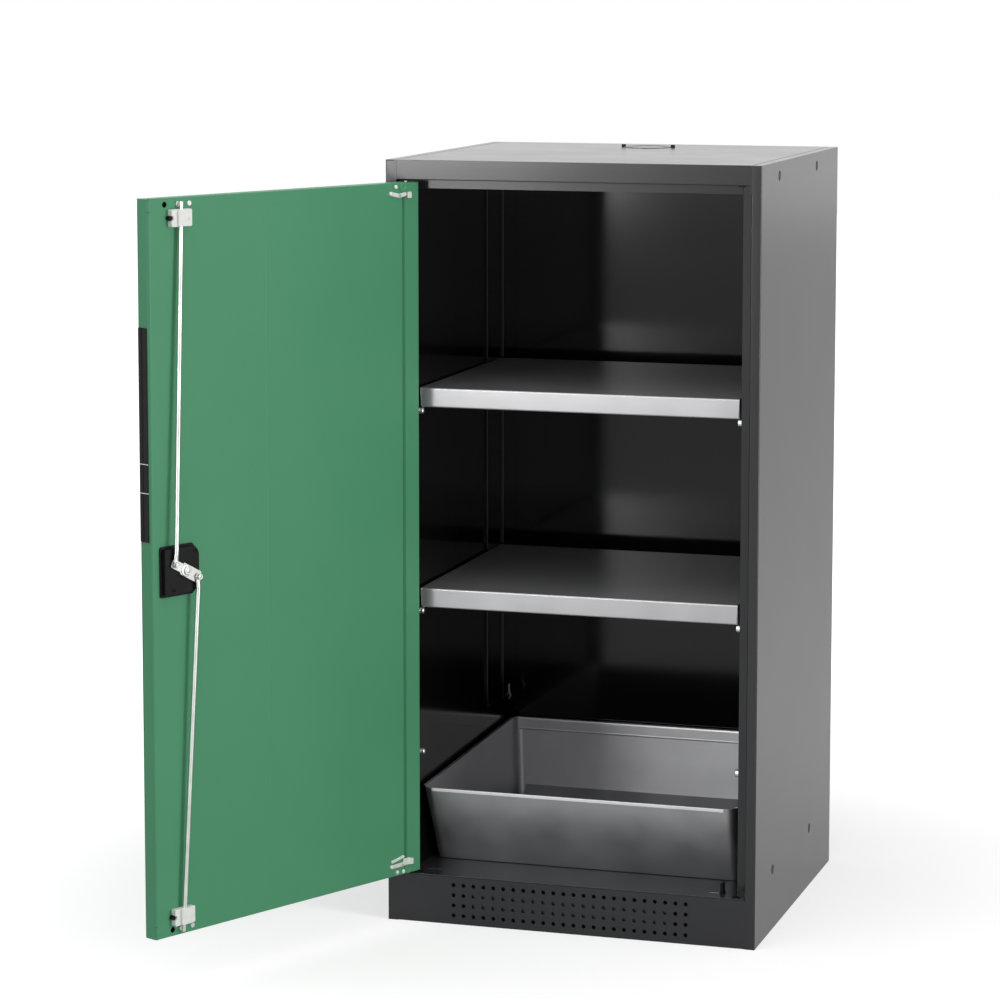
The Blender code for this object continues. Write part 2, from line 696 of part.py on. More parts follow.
def door_outer_skin():
    """Outer face, hinge edge, end folds and inside flanges of the door."""
    shape = prism(door_outline(0.0), door_plan, DOOR_BOTTOM, DOOR_TOP)
    hollow = prism(door_outline(SHEET), door_plan, DOOR_BOTTOM + SHEET, DOOR_TOP - SHEET)
    shape = cut(shape, hollow)
    low = DOOR_BOTTOM + END_FLANGE
    high = DOOR_TOP - END_FLANGE
    face = SHEET - DOOR_THICKNESS
    shape = cut(shape, door_box(HINGE_FLANGE, DOOR_WIDTH + OVERRUN, low, high, face, OVERRUN))
    cutters = []
    for level in (DOOR_BOTTOM, DOOR_TOP):
        start = pin_place(level - SHEET - OVERRUN)
        end = pin_place(level + SHEET + OVERRUN)
        cutters.append(cylinder(start, end, PIN_RADIUS + PLAY, SMALL_SIDES))
    for level in (DOOR_BOTTOM + END_FLANGE / 2, DOOR_TOP - END_FLANGE / 2):
        place = on_door(DOOR_WIDTH - FLANGE_HOLE_INSET, level, 0.0)
        reach = Vector((0.0, SHEET + OVERRUN, 0.0))
        cutters.append(cylinder(place - reach, place + reach, FLANGE_HOLE_RADIUS, SMALL_SIDES))
    face_hole = on_door(LOCK_S, LOCK_HEIGHT, -DOOR_THICKNESS)
    reach = Vector((0.0, SHEET + OVERRUN, 0.0))
    cutters.append(cylinder(face_hole - reach, face_hole + reach, PLUG_FACE_RADIUS + PLAY))
    door_part("door_outer_skin", cut(shape, *cutters), GREEN_LACQUER)


def door_inner_panel():
    """Inside face with the long groove, folded round the free edge."""
    radius = FREE_EDGE_RADIUS
    groove_end = HINGE_FLANGE + GROOVE_WIDTH
    corner = arc((DOOR_WIDTH - radius, -radius), radius, math.pi / 2, 0.0, CORNER_STEPS)
    path = [(HINGE_FLANGE - GROOVE_WIDTH, -GROOVE_DEPTH), (groove_end, -GROOVE_DEPTH)]
    path += [(groove_end, 0.0)] + corner
    path.append((DOOR_WIDTH, SHEET + PLAY - DOOR_THICKNESS))
    outline = [(s, -lift) for s, lift in folded([(s, -lift) for s, lift in path], SHEET)]
    shape = prism(outline, door_plan, PANEL_LOW, PANEL_HIGH)
    place = on_door(LOCK_S, LOCK_HEIGHT, 0.0)
    reach = Vector((0.0, SHEET + OVERRUN, 0.0))
    hole = cylinder(place - reach, place + reach, SPINDLE_RADIUS + 2 * PLAY)
    door_part("door_inner_panel", cut(shape, hole), GREEN_LACQUER)


def grip_strip():
    """Black strip on the free edge with two thin joints."""
    near = DOOR_WIDTH + PLAY
    thickness = DOOR_GAP / 2
    high = GRIP_BOTTOM + GRIP_LENGTH
    lifts = (SHEET / 2 - DOOR_THICKNESS, -FREE_EDGE_RADIUS)
    shape = door_box(near, near + thickness, GRIP_BOTTOM, high, *lifts)
    grooves = []
    for share in GRIP_JOINT_SHARES:
        z = GRIP_BOTTOM + GRIP_LENGTH * share
        levels = (z - GRIP_GROOVE / 2, z + GRIP_GROOVE / 2)
        reach = (-DOOR_THICKNESS - OVERRUN, OVERRUN)
        grooves.append(door_box(near + thickness / 2, near + thickness + OVERRUN, *levels, *reach))
    door_part("grip_strip", cut(shape, *grooves), BLACK_PLASTIC)


def pin_place(level):
    """Point on the hinge axis."""
    return HINGE_AXIS + Vector((0.0, 0.0, level))


def hinge_pin(name, level, up):
    """Collared pin that runs from the hollow door into its bushing."""
    rise = SHEET + DOOR_GAP + BUSHING_DEPTH / 2
    collar = -PLAY
    profile = [(0, -PIN_TAIL), (PIN_RADIUS, -PIN_TAIL), (PIN_RADIUS, collar - PIN_COLLAR_HEIGHT)]
    profile += [(PIN_COLLAR_RADIUS, collar - PIN_COLLAR_HEIGHT), (PIN_COLLAR_RADIUS, collar)]
    profile += [(PIN_RADIUS, collar), (PIN_RADIUS, rise), (0, rise)]
    centre = pin_place(level - up * SHEET)
    door_part(name, turned(profile, centre, (0, 0, up), SMALL_SIDES), BRIGHT_ZINC)


def hinge_plate(name, level, up):
    """Zinc plate over the groove, with a disc and two rivet heads."""
    thickness = PLATE_THICKNESS
    middle = level - up * END_FLANGE * PLATE_END_SHARE
    half = PLATE_HEIGHT / 2
    start = PLATE_INSET
    end = PLATE_INSET + PLATE_LENGTH
    outline = arc((start + half, middle), half, math.pi / 2, 3 * math.pi / 2, CORNER_STEPS)
    outline += arc((end - half, middle), half, -math.pi / 2, math.pi / 2, CORNER_STEPS)
    shape = prism(outline, door_face, PLAY, PLAY + thickness)
    heads = [(start + DISC_RADIUS + half, DISC_RADIUS)]
    heads += [(end - 2 * half - RIVET_RADIUS, RIVET_RADIUS / 2), (end - half, RIVET_RADIUS / 2)]
    for s, radius in heads:
        base = on_door(s, middle, PLAY + thickness / 2)
        top = on_door(s, middle, PLAY + thickness + RIVET_HEIGHT)
        shape = fused(shape, cylinder(base, top, radius, SMALL_SIDES))
    door_part(name, shape, BRIGHT_ZINC)


def lock_housing():
    """Black box with clipped corners on the hinge side and a bore for the spindle."""
    middle = LOCK_S + HOUSING_SHIFT
    s_low = middle - HOUSING_WIDTH / 2
    s_high = middle + HOUSING_WIDTH / 2
    z_low = LOCK_HEIGHT - HOUSING_HEIGHT / 2
    z_high = LOCK_HEIGHT + HOUSING_HEIGHT / 2
    clip = HOUSING_CLIP
    outline = [(s_low + clip, z_low), (s_high, z_low), (s_high, z_high), (s_low + clip, z_high)]
    outline += [(s_low, z_high - clip), (s_low, z_low + clip)]
    shape = prism(outline, door_face, PLAY, PLAY + HOUSING_THICKNESS)
    start = on_door(LOCK_S, LOCK_HEIGHT, PLAY - OVERRUN)
    end = on_door(LOCK_S, LOCK_HEIGHT, PLAY + HOUSING_THICKNESS + OVERRUN)
    shape = cut(shape, cylinder(start, end, SPINDLE_RADIUS + PLAY))
    door_part("lock_housing", shape, BLACK_PLASTIC)


def lock_rosette():
    """Ring round the key plug on the outer face."""
    inner = PLUG_FACE_RADIUS + PLAY
    outer = inner + ROSETTE_WIDTH
    profile = [(inner, PLAY), (outer, PLAY), (outer, PLAY + ROSETTE_THICKNESS)]
    profile.append((inner, PLAY + ROSETTE_THICKNESS))
    centre = on_door(LOCK_S, LOCK_HEIGHT, -DOOR_THICKNESS)
    door_part("lock_rosette", turned(profile, centre, (0, -1, 0), ROUND_SIDES), BRIGHT_ZINC)


def key_plug():
    """Turning plug of the lock with its key slot."""
    face = -DOOR_THICKNESS - ROSETTE_THICKNESS - PLAY
    start = on_door(LOCK_S, LOCK_HEIGHT, spindle_end() - PLAY)
    end = on_door(LOCK_S, LOCK_HEIGHT, face)
    shape = cylinder(start, end, PLUG_FACE_RADIUS)
    slot_half = Vector((KEY_SLOT_WIDTH / 2, 0.0, PLUG_FACE_RADIUS / 2))
    slot_low = end - slot_half - Vector((0.0, OVERRUN, 0.0))
    slot_high = end + slot_half + Vector((0.0, SHEET, 0.0))
    door_part("key_plug", cut(shape, block(slot_low, slot_high)), BRIGHT_ZINC, lock_origin())


def spindle_end():
    """Lift of the inner end of the cam spindle."""
    return -DOOR_THICKNESS / 4


def lock_origin():
    """Point on the lock's own axis."""
    return on_door(LOCK_S, LOCK_HEIGHT, 0.0)


def cam_point(turn, angle):
    """Door position of a cam stud: turn 1 for the upper one, -1 for the lower one."""
    s = LOCK_S + turn * CAM_RADIUS * math.cos(angle)
    z = LOCK_HEIGHT + turn * CAM_RADIUS * math.sin(angle)
    return s, z


def lock_cam():
    """Double lever on the spindle with a hub and two studs."""
    half = CAM_ARM_WIDTH / 2
    rest = CAM_REST_ANGLE
    quarter = math.pi / 2
    upper = arc(cam_point(1, rest), half, rest - quarter, rest + quarter, 2 * CORNER_STEPS)
    lower = arc(cam_point(-1, rest), half, rest + quarter, rest + 3 * quarter, 2 * CORNER_STEPS)
    shape = prism(upper + lower, door_face, CAM_BASE, CAM_TOP)
    start = on_door(LOCK_S, LOCK_HEIGHT, spindle_end())
    end = on_door(LOCK_S, LOCK_HEIGHT, CAM_BASE + CAM_THICKNESS / 2)
    shape = fused(shape, cylinder(start, end, SPINDLE_RADIUS))
    base = on_door(LOCK_S, LOCK_HEIGHT, CAM_BASE + CAM_THICKNESS / 2)
    top = on_door(LOCK_S, LOCK_HEIGHT, CAM_TOP + CAM_THICKNESS)
    shape = fused(shape, cylinder(base, top, HUB_RADIUS))
    for turn in (1, -1):
        s, z = cam_point(turn, rest)
        base = on_door(s, z, CAM_BASE + CAM_THICKNESS / 2)
        stud = cylinder(base, on_door(s, z, STUD_TOP), STUD_PIN_RADIUS, SMALL_SIDES)
        shape = fused(shape, stud)
    door_part("lock_cam", shape, BRIGHT_ZINC, lock_origin())


def door_rod(name, turn):
    """Bolt rod from a cam stud through its guide to the rail or the ledge."""
    s, z = cam_point(turn, CAM_REST_ANGLE)
    eye = on_door(s, z, EYE_LIFT)
    guide_z = GUIDE_TOP_Z - GUIDE_HEIGHT / 2 if turn > 0 else GUIDE_LOW_Z + GUIDE_HEIGHT / 2
    guide = on_door(GUIDE_S[turn], guide_z, ROD_GUIDE_LIFT)
    tip_z = RAIL_Z - ROD_TIP_GAP if turn > 0 else PLINTH_HEIGHT + ROD_TIP_GAP
    run = (guide - eye) / abs(guide.z - eye.z)
    tip = eye + run * abs(tip_z - eye.z)
    side = Vector((0.0, EYE_HALF, 0.0))
    hole = STUD_PIN_RADIUS + EYE_CLEARANCE
    start = eye + run * (hole + EYE_RADIUS) / 2
    shape = cylinder(start, tip, ROD_RADIUS, SMALL_SIDES)
    shape = fused(cylinder(eye - side, eye + side, EYE_RADIUS, ROUND_SIDES), shape)
    bore = cylinder(eye - 2 * side, eye + 2 * side, hole, SMALL_SIDES)
    door_part(name, cut(shape, bore), BRIGHT_ZINC, on_door(s, z, 0.0))


def rod_guide(name, turn):
    """White block with a slot that the rod slides and sways in."""
    middle = GUIDE_S[turn]
    s_low = middle - GUIDE_WIDTH / 2
    s_high = middle + GUIDE_WIDTH / 2
    z_low = GUIDE_TOP_Z - GUIDE_HEIGHT if turn > 0 else GUIDE_LOW_Z
    z_high = z_low + GUIDE_HEIGHT
    shape = door_box(s_low, s_high, z_low, z_high, PLAY, GUIDE_TOP_LIFT)
    half = ROD_RADIUS + GUIDE_SLOT_CLEARANCE
    slot_low = ROD_GUIDE_LIFT - ROD_RADIUS - 2 * PLAY
    slot_high = ROD_GUIDE_LIFT + ROD_RADIUS + 2 * PLAY
    slot = (middle - half, middle + half, z_low - OVERRUN, z_high + OVERRUN, slot_low, slot_high)
    door_part(name, cut(shape, door_box(*slot)), WHITE_PLASTIC)


def guide_rivets(label, turn):
    """Two rivet heads on the inside flange beside a guide."""
    z = DOOR_TOP - END_FLANGE / 2 if turn > 0 else DOOR_BOTTOM + END_FLANGE / 2
    for number in range(2):
        s = GUIDE_S[turn] + (number - 1) * RIVET_SPACING
        base = on_door(s, z, PLAY)
        top = on_door(s, z, PLAY + RIVET_HEIGHT)
        shape = cylinder(base, top, RIVET_RADIUS, SMALL_SIDES)
        door_part(f"guide_rivet_{label}_{number + 1}", shape, BRIGHT_ZINC)


def build_carcass():
    """All fixed pieces."""
    for side, label in ((-1, "left"), (1, "right")):
        side_wall(f"side_wall_{label}", side)
        inner_wall(f"inner_wall_{label}", side)
        duct_cover(f"duct_cover_{label}", side)
        wall_plugs(side, label)
        hinge_bushing(f"hinge_bushing_top_{label}", side, RAIL_Z, -1)
        hinge_bushing(f"hinge_bushing_bottom_{label}", side, PLINTH_HEIGHT, 1)
    rear_panels()
    top_panel()
    exhaust_collar()
    front_top_rail()
    floor_panel()
    plinth_front()
    base_rail()
    door_buffer()
    shelf_supports()


def build_contents():
    """Shelves and tray."""
    for level, label in zip(SHELF_LEVELS, ("lower", "upper")):
        shelf(f"shelf_{label}", level)
    sump_tray()


def build_door():
    """Door with its fittings."""
    door_outer_skin()
    door_inner_panel()
    grip_strip()
    for level, label, turn in ((DOOR_TOP, "top", 1), (DOOR_BOTTOM, "bottom", -1)):
        hinge_pin(f"hinge_pin_{label}", level, turn)
        hinge_plate(f"hinge_plate_{label}", level, turn)
        rod_guide(f"rod_guide_{label}", turn)
        guide_rivets(label, turn)
    lock_housing()
    lock_rosette()


def build_lock():
    """Pieces that the key turns."""
    lock_cam()
    key_plug()
    door_rod("upper_rod", 1)
    door_rod("lower_rod", -1)


def main():
    """Build the whole cabinet."""
    clear_scene()
    build_carcass()
    build_contents()
    build_door()
    build_lock()


main()
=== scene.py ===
"""Dressed model of a chemical storage cabinet: steel carcass, open wing door, shelves, sump tray.

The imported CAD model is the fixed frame. Metres, Z up, the front faces -Y. Door pieces are drawn as
if the door were shut and are then turned with it to the open rest pose. Sheet pieces take the CAD
shape with rolled folds and eased rims; shelves, trims, fittings and the lock are built here.
"""

import json
import logging
import math
from dataclasses import dataclass
from enum import Enum

import bmesh
import bpy
from mathutils import Matrix, Vector


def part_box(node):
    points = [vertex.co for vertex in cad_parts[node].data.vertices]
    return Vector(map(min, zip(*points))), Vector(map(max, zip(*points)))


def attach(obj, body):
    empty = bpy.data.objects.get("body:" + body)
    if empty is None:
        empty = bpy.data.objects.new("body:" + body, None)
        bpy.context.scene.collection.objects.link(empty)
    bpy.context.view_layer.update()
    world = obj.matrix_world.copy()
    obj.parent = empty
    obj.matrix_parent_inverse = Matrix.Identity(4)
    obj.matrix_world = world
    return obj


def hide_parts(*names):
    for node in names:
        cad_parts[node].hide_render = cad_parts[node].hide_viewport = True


LOG = logging.getLogger("cabinet")
MM = 0.001
# How far a part sinks into the one that carries it.
SINK = 0.2 * MM
# Usual rounding of a cut edge.
EASE = 0.3 * MM
# Rounding of a filled joint, which hardly shows.
FAINT = 0.05 * MM
# Points closer than this are one point on a turned solid.
SAME_POINT = 1e-7
# Edges that turn by more than this are eased on new solids and rolled on CAD sheets.
SHARP_ANGLE = math.radians(30.0)
# Edges that turn by more than this stay visible corners.
CREASE_ANGLE = math.radians(50.0)
# Nearly all of a noise pattern lies between these values.
PATTERN_LOW = 0.3
PATTERN_HIGH = 0.7

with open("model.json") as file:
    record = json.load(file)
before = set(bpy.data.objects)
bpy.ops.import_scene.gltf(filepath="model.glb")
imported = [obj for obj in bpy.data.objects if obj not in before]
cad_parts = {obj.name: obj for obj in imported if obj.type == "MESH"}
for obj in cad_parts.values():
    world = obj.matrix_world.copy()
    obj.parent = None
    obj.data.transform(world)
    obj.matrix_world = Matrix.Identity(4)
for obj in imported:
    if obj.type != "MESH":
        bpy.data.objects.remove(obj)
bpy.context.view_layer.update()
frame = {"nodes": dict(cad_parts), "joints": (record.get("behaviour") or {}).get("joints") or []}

Colour = tuple[float, float, float, float]
Pair = tuple[float, float]
Triple = tuple[float, float, float]
Spot = Triple | Vector
Outline = list[Pair]
Item = bpy.types.Object
Material = bpy.types.Material
Socket = bpy.types.NodeSocket
Tree = bpy.types.NodeTree

# A place that moves nothing.
HERE = Matrix()
# Lays a section drawn in y and z along x.
ALONG_X = Matrix(((0, 0, 1, 0), (1, 0, 0, 0), (0, 1, 0, 0), (0, 0, 0, 1)))
# Lays a section drawn in x and z along y, pointing forward.
ALONG_Y = Matrix(((1, 0, 0, 0), (0, 0, -1, 0), (0, 1, 0, 0), (0, 0, 0, 1)))


class Signed(Enum):
    """A choice whose value is a sign and whose name goes into the names of pieces."""

    @property
    def label(self) -> str:
        """Word used in names."""
        return self.name.lower()

    def pick(self, low: object, high: object) -> object:
        """The first of two values where the sign is -1, the second where it is 1."""
        return high if self.value > 0 else low


class Side(Signed):
    """Left and right of the cabinet, as the sign of x."""

    LEFT = -1
    RIGHT = 1


class End(Signed):
    """Lower and upper end of the door, as the sign of z."""

    BOTTOM = -1
    TOP = 1


def at(x: float, y: float, z: float = 0.0) -> Matrix:
    """Place that moves a drawing to a point."""
    return Matrix.Translation((x, y, z))


def joint_place(name: str) -> Vector:
    """Place of a joint of the record."""
    return Vector(next(joint for joint in frame["joints"] if joint["name"] == name)["pos_m"])


def box_in(node: str, place: Matrix) -> tuple[Vector, Vector]:
    """Measure a CAD node along the axes of a place.

    Args:
        node: name of the node.
        place: the place, such as that of the door.

    Returns:
        Lowest and highest corner.
    """
    back = place.inverted()
    points = [back @ v.co for v in frame["nodes"][node].data.vertices]
    low = Vector([min(p[i] for p in points) for i in range(3)])
    high = Vector([max(p[i] for p in points) for i in range(3)])
    return low, high


# Finishes


def linear(code: str) -> Colour:
    """Turn an sRGB hex colour into linear light.

    Args:
        code: colour such as "#52906C".

    Returns:
        Red, green, blue and alpha in linear light.
    """
    parts = [int(code[i : i + 2], 16) / 255 for i in (1, 3, 5)]
    light = [c / 12.92 if c <= 0.04045 else ((c + 0.055) / 1.055) ** 2.4 for c in parts]
    return (*light, 1.0)


def add_node(
    tree: Tree,
    kind: str,
    settings: dict[str, object] | None = None,
    inputs: dict[str | int, object] | None = None,
) -> bpy.types.Node:
    """Add a node with its settings and links.

    Args:
        tree: node tree that gets the node.
        kind: Blender's name of the node type.
        settings: property names and their values.
        inputs: socket names or numbers, each with a value or the output socket to link.

    Returns:
        The new node.
    """
    node = tree.nodes.new(kind)
    for name, value in (settings or {}).items():
        setattr(node, name, value)
    for key, value in (inputs or {}).items():
        socket = node.inputs[key]
        if isinstance(value, Socket):
            tree.links.new(value, socket)
        else:
            socket.default_value = value
    return node


def maths(tree: Tree, operation: str, *values: object) -> Socket:
    """Add a sum of values or sockets and give its output."""
    return add_node(tree, "ShaderNodeMath", {"operation": operation}, dict(enumerate(values))).outputs[0]


def new_material(name: str) -> tuple[Material, Tree]:
    """Make an empty node material, and give it with its tree."""
    material = bpy.data.materials.new(name)
    material.use_nodes = True
    material.node_tree.nodes.clear()
    return material, material.node_tree


def noise_node(tree: Tree, size_mm: float, detail: float, stretch: Triple = (1.0, 1.0, 1.0)) -> Socket:
    """Add a noise pattern on Object coordinates.

    Args:
        tree: node tree that gets the pattern.
        size_mm: width of one patch of the pattern in millimetres.
        detail: octaves of finer noise in it.
        stretch: how many times longer the patches are along each axis.

    Returns:
        The output socket with the pattern, from 0 to 1.
    """
    place = add_node(tree, "ShaderNodeTexCoord").outputs["Object"]
    scale = [1.0 / s for s in stretch]
    mapped = add_node(tree, "ShaderNodeMapping", None, {"Vector": place, "Scale": scale}).outputs[0]
    inputs = {"Vector": mapped, "Scale": 1.0 / (size_mm * MM), "Detail": detail}
    return add_node(tree, "ShaderNodeTexNoise", None, inputs).outputs["Fac"]


def between(tree: Tree, pattern: Socket, low: float, high: float) -> Socket:
    """Spread a pattern evenly between two values.

    Args:
        tree: node tree of the pattern.
        pattern: output socket with the pattern.
        low: value where the pattern is dark.
        high: value where the pattern is light.

    Returns:
        The output socket with the spread values.
    """
    span = {"Value": pattern, "From Min": PATTERN_LOW, "From Max": PATTERN_HIGH}
    span |= {"To Min": low, "To Max": high}
    return add_node(tree, "ShaderNodeMapRange", None, span).outputs[0]


def two_tone(tree: Tree, pattern: Socket, dark: str, light: str) -> Socket:
    """Mix two close shades of a colour by a pattern.

    Args:
        tree: node tree of the pattern.
        pattern: output socket with the pattern.
        dark: hex colour where the pattern is dark.
        light: hex colour where the pattern is light.

    Returns:
        The output socket with the colour.
    """
    node = add_node(tree, "ShaderNodeValToRGB", None, {"Fac": pattern})
    ends = zip(node.color_ramp.elements, (PATTERN_LOW, PATTERN_HIGH), (dark, light))
    for element, position, colour in ends:
        element.position = position
        element.color = linear(colour)
    return node.outputs["Color"]


@dataclass(frozen=True)
class Finish:
    """What all finishes share: name, CAD slot, two close shades and the span of the roughness."""

    name: str
    slot: str
    dark: str
    light: str
    smooth: float
    rough: float

    def material(self) -> Material:
        """Build the node material."""
        material, tree = new_material(self.name)
        self.fill(tree)
        return material

    def fill(self, tree: Tree) -> None:
        """Lay the finish's patterns; each finish has its own."""
        raise NotImplementedError

    def surface(self, tree: Tree, pattern: Socket, relief: Socket, depth_mm: float, **more: object) -> None:
        """Close a material whose colour and gloss follow one pattern and whose relief follows another.

        Args:
            tree: node tree of the material.
            pattern: pattern of the colour and the gloss.
            relief: pattern of the relief.
            depth_mm: depth of the relief in millimetres.
            more: further inputs of the shader.
        """
        height = {"Height": relief, "Distance": depth_mm * MM, "Strength": 1.0}
        bump = add_node(tree, "ShaderNodeBump", None, height)
        inputs = {
            "Base Color": two_tone(tree, pattern, self.dark, self.light),
            "Roughness": between(tree, pattern, self.smooth, self.rough),
            "Normal": bump.outputs[0],
        }
        shader = add_node(tree, "ShaderNodeBsdfPrincipled", None, inputs | more)
        add_node(tree, "ShaderNodeOutputMaterial", None, {"Surface": shader.outputs[0]})


@dataclass(frozen=True)
class PowderCoat(Finish):
    """Baked polyester powder on steel: even colour with a fine orange peel that breaks the gloss.

    The peel is drawn about twice as coarse as the real 1 mm so that it shows in the render.
    """

    peel_mm: float = 2.2
    peel_depth_mm: float = 0.02
    patch_mm: float = 140.0
    ior: float = 1.5

    def fill(self, tree: Tree) -> None:
        """Peel over wide patches."""
        patches = noise_node(tree, self.patch_mm, 2.0)
        peel = noise_node(tree, self.peel_mm, 1.0)
        self.surface(tree, patches, peel, self.peel_depth_mm, IOR=self.ior)


@dataclass(frozen=True)
class ZincPlate(Finish):
    """Bright zinc plating on steel: pale metal with faint drawn streaks and cloudy passivation."""

    cloud_mm: float = 6.0
    streak_mm: float = 0.8
    streak_depth_mm: float = 0.004
    streak_run: Triple = (1.0, 1.0, 12.0)
    metallic: float = 1.0

    def fill(self, tree: Tree) -> None:
        """Streaks over clouds."""
        clouds = noise_node(tree, self.cloud_mm, 3.0)
        streaks = noise_node(tree, self.streak_mm, 1.0, self.streak_run)
        self.surface(tree, clouds, streaks, self.streak_depth_mm, Metallic=self.metallic)


@dataclass(frozen=True)
class MouldedPlastic(Finish):
    """Injection moulded plastic: spark-eroded grain from the mould and slightly uneven gloss."""

    grain_mm: float = 0.7
    grain_depth_mm: float = 0.02
    patch_mm: float = 9.0
    ior: float = 1.53

    def fill(self, tree: Tree) -> None:
        """Pits over small patches."""
        patches = noise_node(tree, self.patch_mm, 2.0)
        place = add_node(tree, "ShaderNodeTexCoord").outputs["Object"]
        pits = {"Vector": place, "Scale": 1.0 / (self.grain_mm * MM)}
        grain = add_node(tree, "ShaderNodeTexVoronoi", {"feature": "SMOOTH_F1"}, pits).outputs["Distance"]
        self.surface(tree, patches, grain, self.grain_depth_mm, IOR=self.ior)


# Workshop: how meshes are made and pieces handed over


def smooth_arc(centre: Pair, radius: float, start: float, end: float, steps: int) -> Outline:
    """Draw an arc in a section.

    Args:
        centre: middle of the arc.
        radius: its radius in metres.
        start: first angle in degrees.
        end: last angle in degrees.
        steps: number of straight steps.

    Returns:
        The points along the arc, both ends among them.
    """
    angles = [math.radians(start + (end - start) * i / steps) for i in range(steps + 1)]
    return [(centre[0] + radius * math.cos(a), centre[1] + radius * math.sin(a)) for a in angles]


def rounded_box(low: Pair, high: Pair, radius: float, steps: int = 4) -> Outline:
    """Draw a rectangle with rounded corners, counterclockwise.

    Args:
        low: lowest corner.
        high: highest corner.
        radius: corner radius in metres.
        steps: straight steps in each corner.

    Returns:
        The points of the outline.
    """
    outline: Outline = []
    corners = [(high[0], high[1]), (low[0], high[1]), (low[0], low[1]), (high[0], low[1])]
    for number, (a, b) in enumerate(corners):
        inner_a = a - radius if a == high[0] else a + radius
        inner_b = b - radius if b == high[1] else b + radius
        outline += smooth_arc((inner_a, inner_b), radius, 90.0 * number, 90.0 * (number + 1), steps)
    return outline


def filleted(path: Outline, radii: list[float], steps: int = 4) -> Outline:
    """Round the corners of an open line.

    Args:
        path: its points.
        radii: radius at each point; the ends' aren't used.
        steps: straight steps in each corner.

    Returns:
        The rounded line.
    """
    points = [Vector(p) for p in path]
    line = [tuple(points[0])]
    nearly_straight = math.radians(89)
    for before, corner, after, radius in zip(points, points[1:], points[2:], radii[1:]):
        come = (before - corner).normalized()
        leave = (after - corner).normalized()
        half = come.angle(leave) / 2
        if radius <= 0 or half > nearly_straight:
            line.append(tuple(corner))
            continue
        centre = corner + (come + leave).normalized() * (radius / math.sin(half))
        start = corner + come * (radius / math.tan(half)) - centre
        turn = start.angle_signed(corner + leave * (radius / math.tan(half)) - centre)
        for i in range(steps + 1):
            cos, sin = math.cos(-turn * i / steps), math.sin(-turn * i / steps)
            arm = Vector((start.x * cos - start.y * sin, start.x * sin + start.y * cos))
            line.append(tuple(centre + arm))
    line.append(tuple(points[-1]))
    return line


def bent_sheet(path: Outline, thickness: float, radius: float) -> Outline:
    """Draw the section of a bent sheet.

    Args:
        path: line along one face; the sheet lies on its left.
        thickness: of the sheet.
        radius: outer radius of its bends.

    Returns:
        The closed outline.
    """
    points = [Vector(p) for p in path]
    runs = [(b - a).normalized() for a, b in zip(points, points[1:])]
    lefts = [Vector((-run.y, run.x)) for run in runs]
    far = [points[0] + lefts[0] * thickness]
    near_radii = [0.0]
    far_radii = [0.0]
    for i in range(1, len(points) - 1):
        mitre = (lefts[i - 1] + lefts[i]).normalized()
        far.append(points[i] + mitre * (thickness / mitre.dot(lefts[i])))
        turns_left = runs[i - 1].cross(runs[i]) > 0
        near_radii.append(radius if turns_left else radius - thickness)
        far_radii.append(radius - thickness if turns_left else radius)
    far.append(points[-1] + lefts[-1] * thickness)
    near_line = filleted(path, near_radii + [0.0])
    far_line = filleted([tuple(p) for p in far], far_radii + [0.0])
    return near_line + list(reversed(far_line))


def frame_on(normal: Triple) -> Matrix:
    """Turn that lays a drawing's z axis along a direction."""
    return Vector(normal).to_track_quat("Z", "Y").to_matrix().to_4x4()


